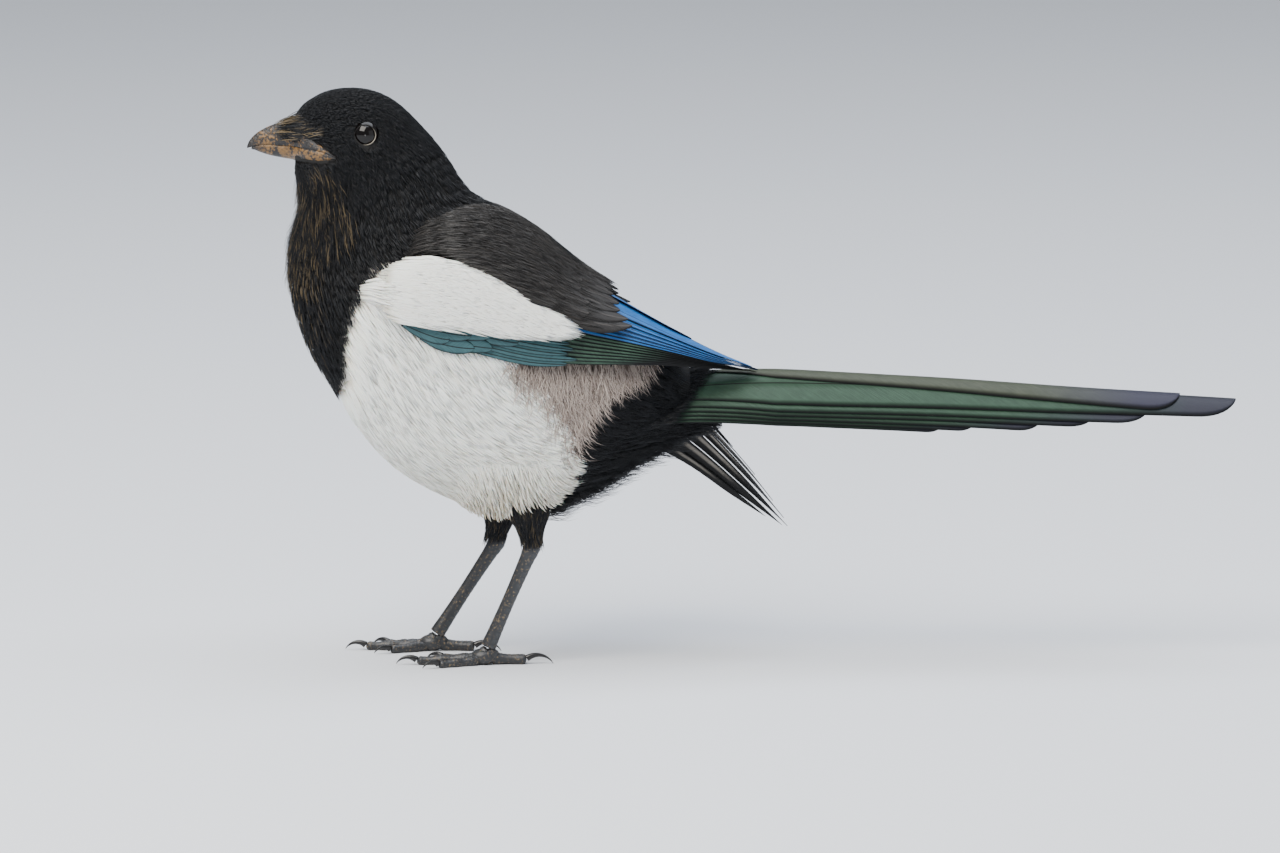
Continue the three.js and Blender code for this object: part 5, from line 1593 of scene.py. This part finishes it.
# %% Finish of legs and claws
# Bare scaled skin has a dull gloss, with dry mud in specks over the dark plates
leg_skin, tree, shader = new_material("scaled_leg_skin", Roughness=0.42)
mud = surface_noise(tree, 1.0, 5.0)
mud_share = add_node(tree, "ShaderNodeMapRange", {0: mud.outputs[0], 1: 0.56, 2: 0.74})
scale_tint = blend_colours(tree, read(tree, "plate"), "#131416", "#3b3d41")
tree.links.new(blend_colours(tree, mud_share.outputs[0], scale_tint, "#75644a"), shader.inputs["Base Color"])
tilt_surface(tree, shader, mud.outputs[0], 0.15)
claw_horn, tree, shader = new_material("dark_claw_horn", Roughness=0.28)
shader.inputs["Base Color"].default_value = linear("#151415")
ring = circle(20)


def plates(distance, spacing):
    """A sawtooth between 0 and 1 that rises over each plate and drops at its edge."""
    return np.mod(distance / spacing, 1.0)[:, None] ** 0.6


def plate_values(step, where):
    """The number that the finish reads: dark between the plates and light on them."""
    return np.append((0.25 + 0.75 * step * where + 0 * ring).ravel(), [0, 0])


print("a ring of the leg has", len(ring), "points")

# %% [markdown]
# ## Shanks
# The shank is a tube from the ankle up into the feathers of the thigh. It is thickest at both joints, and
# only its front carries wide plates.

# %% Shanks
PLATE = 2.9  # millimetres between the plates of the shank
SHANK_RINGS = 150


def add_shank(word, side):
    """Rings square to the line from the ankle to the hock, with a step in the radius at each plate."""
    ankle, hock = (np.array(LEGS[side][joint]) for joint in ("ankle", "hock"))
    length = np.linalg.norm(hock - ankle)
    distance = np.linspace(1.5, length + 2.6, SHANK_RINGS)
    line = ankle + (hock - ankle) / length * distance[:, None]
    path = np.stack([line[:, 0], np.full(SHANK_RINGS, side * LEG_SPREAD), line[:, 1]], -1)
    wide, high = through([[0, 3.1, 3.3], [5, 3.0, 3.1], [10, 2.6, 2.9], [length / 2, 2.55, 2.7],
                          [length - 7, 2.7, 3.1], [length - 3, 3.2, 3.5], [length, 3.2, 3.5],
                          [length + 2.6, 2.2, 2.6]])(distance)
    front = np.clip(np.sin(ring + QUARTER * 2) * 1.4, 0, 1)[None, :]
    step = plates(distance, PLATE)
    rings = tube_along(path, wide[:, None] * (1 + 0.03 * step * front),
                       high[:, None] * (1 + 0.06 * step * front), ring[None, :] + 0 * step)
    add_piece(f"shank_{word}", *tube(rings), leg_skin, "leg_skin", {"plate": plate_values(step, front)},
              nodes=[f"tarsus_{word}"])


print("the shank's plates are", PLATE, "mm apart")

# %% [markdown]
# ## Toes and claws
# Three toes point forwards and one back. A toe is a tube that thickens at each joint and thins towards the
# claw, with narrow plates on top, and it is cut level where it rests on the floor. A claw is a horn whose
# path bends evenly, so it is part of a circle.

# %% Measures of toes and claws
TOE_PLATE = 1.7  # millimetres between the plates of a toe
TOE_RINGS, CLAW_RINGS = 90, 34
# Degrees from straight ahead, length, radius, claw length, joints
TOES = {"inner": (-24, 21, 2.2, 8.5, 2), "middle": (2, 30, 2.4, 10, 3), "outer": (27, 23, 2.1, 8.5, 3),
        "hind": (184, 17, 2.6, 13, 1)}
CLAW_RISE, CLAW_FALL = np.radians(36), np.radians(-58)  # slopes of a claw at its root and its tip
PAD_SIZE, PAD_RINGS = np.array([5.6, 4.4, 3.6]), 18
print("the claws turn by", round(float(np.degrees(CLAW_RISE - CLAW_FALL))), "degrees")

# %% [markdown]
# ## Shapes of toes and claws
# A toe is a tube that swells at its pads. A claw is a tube along a part of a circle that narrows to its
# tip, which is how horn grows.

# %% Shapes of toes and claws
def toe(side, ahead, length, radius, joints):
    """Rings along the toe, the number for its finish and the place where the claw grows."""
    ankle_x, ankle_z = LEGS[side]["ankle"]
    run = np.linspace(0, 1, TOE_RINGS)
    base_radius = radius * (1.12 - 0.34 * run)
    end_round = np.sqrt(np.clip(1 - ((run - 0.93) / 0.07).clip(0, 1) ** 2, 0.12, 1))
    thick = base_radius * (1 + 0.13 * np.cos(2 * np.pi * joints * run)) * end_round
    low = np.clip(run * 4, 0, 1)
    z = (ankle_z - 1.2) * (1 - low) + (base_radius - 0.25) * low
    path = np.stack([ankle_x + ahead[0] * length * run, side * LEG_SPREAD + ahead[1] * length * run, z], -1)
    ripple = plates(run * length, TOE_PLATE)
    on_top = np.clip(np.sin(ring), 0, 1)[None, :]
    rings = tube_along(path, thick[:, None] * (1 + 0.05 * ripple * on_top),
                       thick[:, None] * (1 + 0.09 * ripple * on_top), ring[None, :] + 0 * ripple)
    rings[..., 2] = np.maximum(rings[..., 2], 0.0)
    return rings, plate_values(ripple, on_top), path[-1]


def claw(root, ahead, length):
    """Rings along an arc whose slope falls evenly from the rise to the fall."""
    curve = (CLAW_RISE - CLAW_FALL) / length
    s = np.linspace(0, length, CLAW_RINGS)
    angle = CLAW_RISE - curve * s
    forward = (np.sin(CLAW_RISE) - np.sin(angle)) / curve + 0.2
    up = (np.cos(angle) - np.cos(CLAW_RISE)) / curve
    radius = 1.4 * (1 - (s / length) ** 0.9) + 0.12
    path = np.stack([root[0] + ahead[0] * forward, root[1] + ahead[1] * forward, root[2] + 0.6 + up], -1)
    rings = tube_along(path, 0.8 * radius[:, None], radius[:, None], ring[None, ::2] + 0 * s[:, None])
    rings[..., 2] = np.maximum(rings[..., 2], 0.03)
    return rings


print("a toe has", TOE_RINGS, "rings and a claw", CLAW_RINGS)

# %% [markdown]
# ## Feet
# Each foot has three toes forward and one back, from one joint, and its four claws are one piece in place of
# their four nodes.

# %% Feet
def add_foot(word, side):
    """The four toes and the pad under their meeting point as one piece, and the four claws as another."""
    toes, numbers, claws = [], [], []
    for turn_out, length, radius, claw_length, joints in TOES.values():
        heading = np.pi - side * np.radians(turn_out)
        ahead = np.array([np.cos(heading), np.sin(heading)])
        rings, plate, end = toe(side, ahead, length, radius, joints)
        toes.append(tube(rings))
        numbers.append(plate)
        claws.append(tube(claw(end, ahead, claw_length)))
    polar, around = grid(np.linspace(0, np.pi, PAD_RINGS), ring)
    pad = PAD_SIZE * np.stack([np.sin(polar) * np.cos(around), np.sin(polar) * np.sin(around),
                               np.cos(polar)], -1) + [LEGS[side]["ankle"][0] - 1.5, side * LEG_SPREAD, 3.4]
    pad[..., 2] = np.maximum(pad[..., 2], 0.0)
    toes.append(tube(pad))
    numbers.append(np.full(len(toes[-1][0]), 0.4))
    add_piece(f"toes_{word}", *together(toes), leg_skin, "leg_skin", {"plate": np.concatenate(numbers)},
              nodes=[f"foot_{word}"])
    add_piece(f"claws_{word}", *together(claws), claw_horn, "claw_horn",
              nodes=[f"claw_{name}_{word}" for name in TOES])


for word, side in SIDES.items():
    add_shank(word, side)
    add_foot(word, side)

# %% [markdown]
# ## Floor, light and camera
# A pale floor and large soft lights, as an overcast sky gives. The camera stands level with the bird's side,
# eight degrees up, with a long lens, so that the proportions stay those of the photograph.

# %% Floor, light and camera
FLOOR_REACH = 30.0
SKY_STRENGTH = 0.52
floor_mesh = bpy.data.meshes.new("floor")
corners = [(-1, -1), (1, -1), (1, 1), (-1, 1)]
floor_mesh.from_pydata([(x * FLOOR_REACH, y * FLOOR_REACH, 0) for x, y in corners], [], [(0, 1, 2, 3)])
floor = bpy.data.objects.new("floor", floor_mesh)
bpy.context.scene.collection.objects.link(floor)
floor_finish, tree, shader = new_material("pale_studio_floor", Roughness=0.9)
shader.inputs["Base Color"].default_value = linear("#d9dce1")
floor_mesh.materials.append(floor_finish)

world = bpy.data.worlds.new("soft_sky")
bpy.context.scene.world = world
world.use_nodes = True
world.node_tree.nodes["Background"].inputs["Color"].default_value = linear("#dfe5ee")
world.node_tree.nodes["Background"].inputs["Strength"].default_value = SKY_STRENGTH


def add_light(name, place, aim, size, power, colour):
    """A square soft light that points from its place at an aim."""
    lamp = bpy.data.lights.new(name, "AREA")
    lamp.size, lamp.energy, lamp.color = size, power, linear(colour)[:3]
    lit = bpy.data.objects.new(name, lamp)
    lit.location = place
    direction = np.array(aim) - np.array(place)
    lit.rotation_euler = Vector(direction).to_track_quat("-Z", "Y").to_euler()
    bpy.context.scene.collection.objects.link(lit)


middle = (-0.05, 0.0, 0.12)
add_light("key_light", (-1.0, -1.3, 1.9), middle, 1.6, 92, "#fffaf2")
add_light("sky_light", (0.3, 0.2, 2.4), middle, 2.4, 96, "#eef3fb")
add_light("fill_light", (1.5, -1.6, 0.7), middle, 1.5, 6, "#f4f6fa")

LENS, SENSOR, FRAME_WIDTH = 300.0, 36.0, 0.5504  # the frame is this wide in metres at the bird
VIEW_MIDDLE = np.array([-0.0441, 0, 0.1005])  # what the camera looks at, before the shift
distance = LENS / SENSOR * FRAME_WIDTH
target = VIEW_MIDDLE + SHIFT * MM * [1, 0, 0]
camera_data = bpy.data.cameras.new("camera")
camera_data.lens, camera_data.sensor_width = LENS, SENSOR
camera_data.clip_end = 100
camera = bpy.data.objects.new("camera", camera_data)
camera.location = target + distance * np.array([0, -np.cos(LOOK_DOWN), np.sin(LOOK_DOWN)])
camera.rotation_euler = (QUARTER - LOOK_DOWN, 0, 0)
bpy.context.scene.collection.objects.link(camera)
bpy.context.scene.camera = camera
print("the camera is", round(float(distance), 3), "m away")
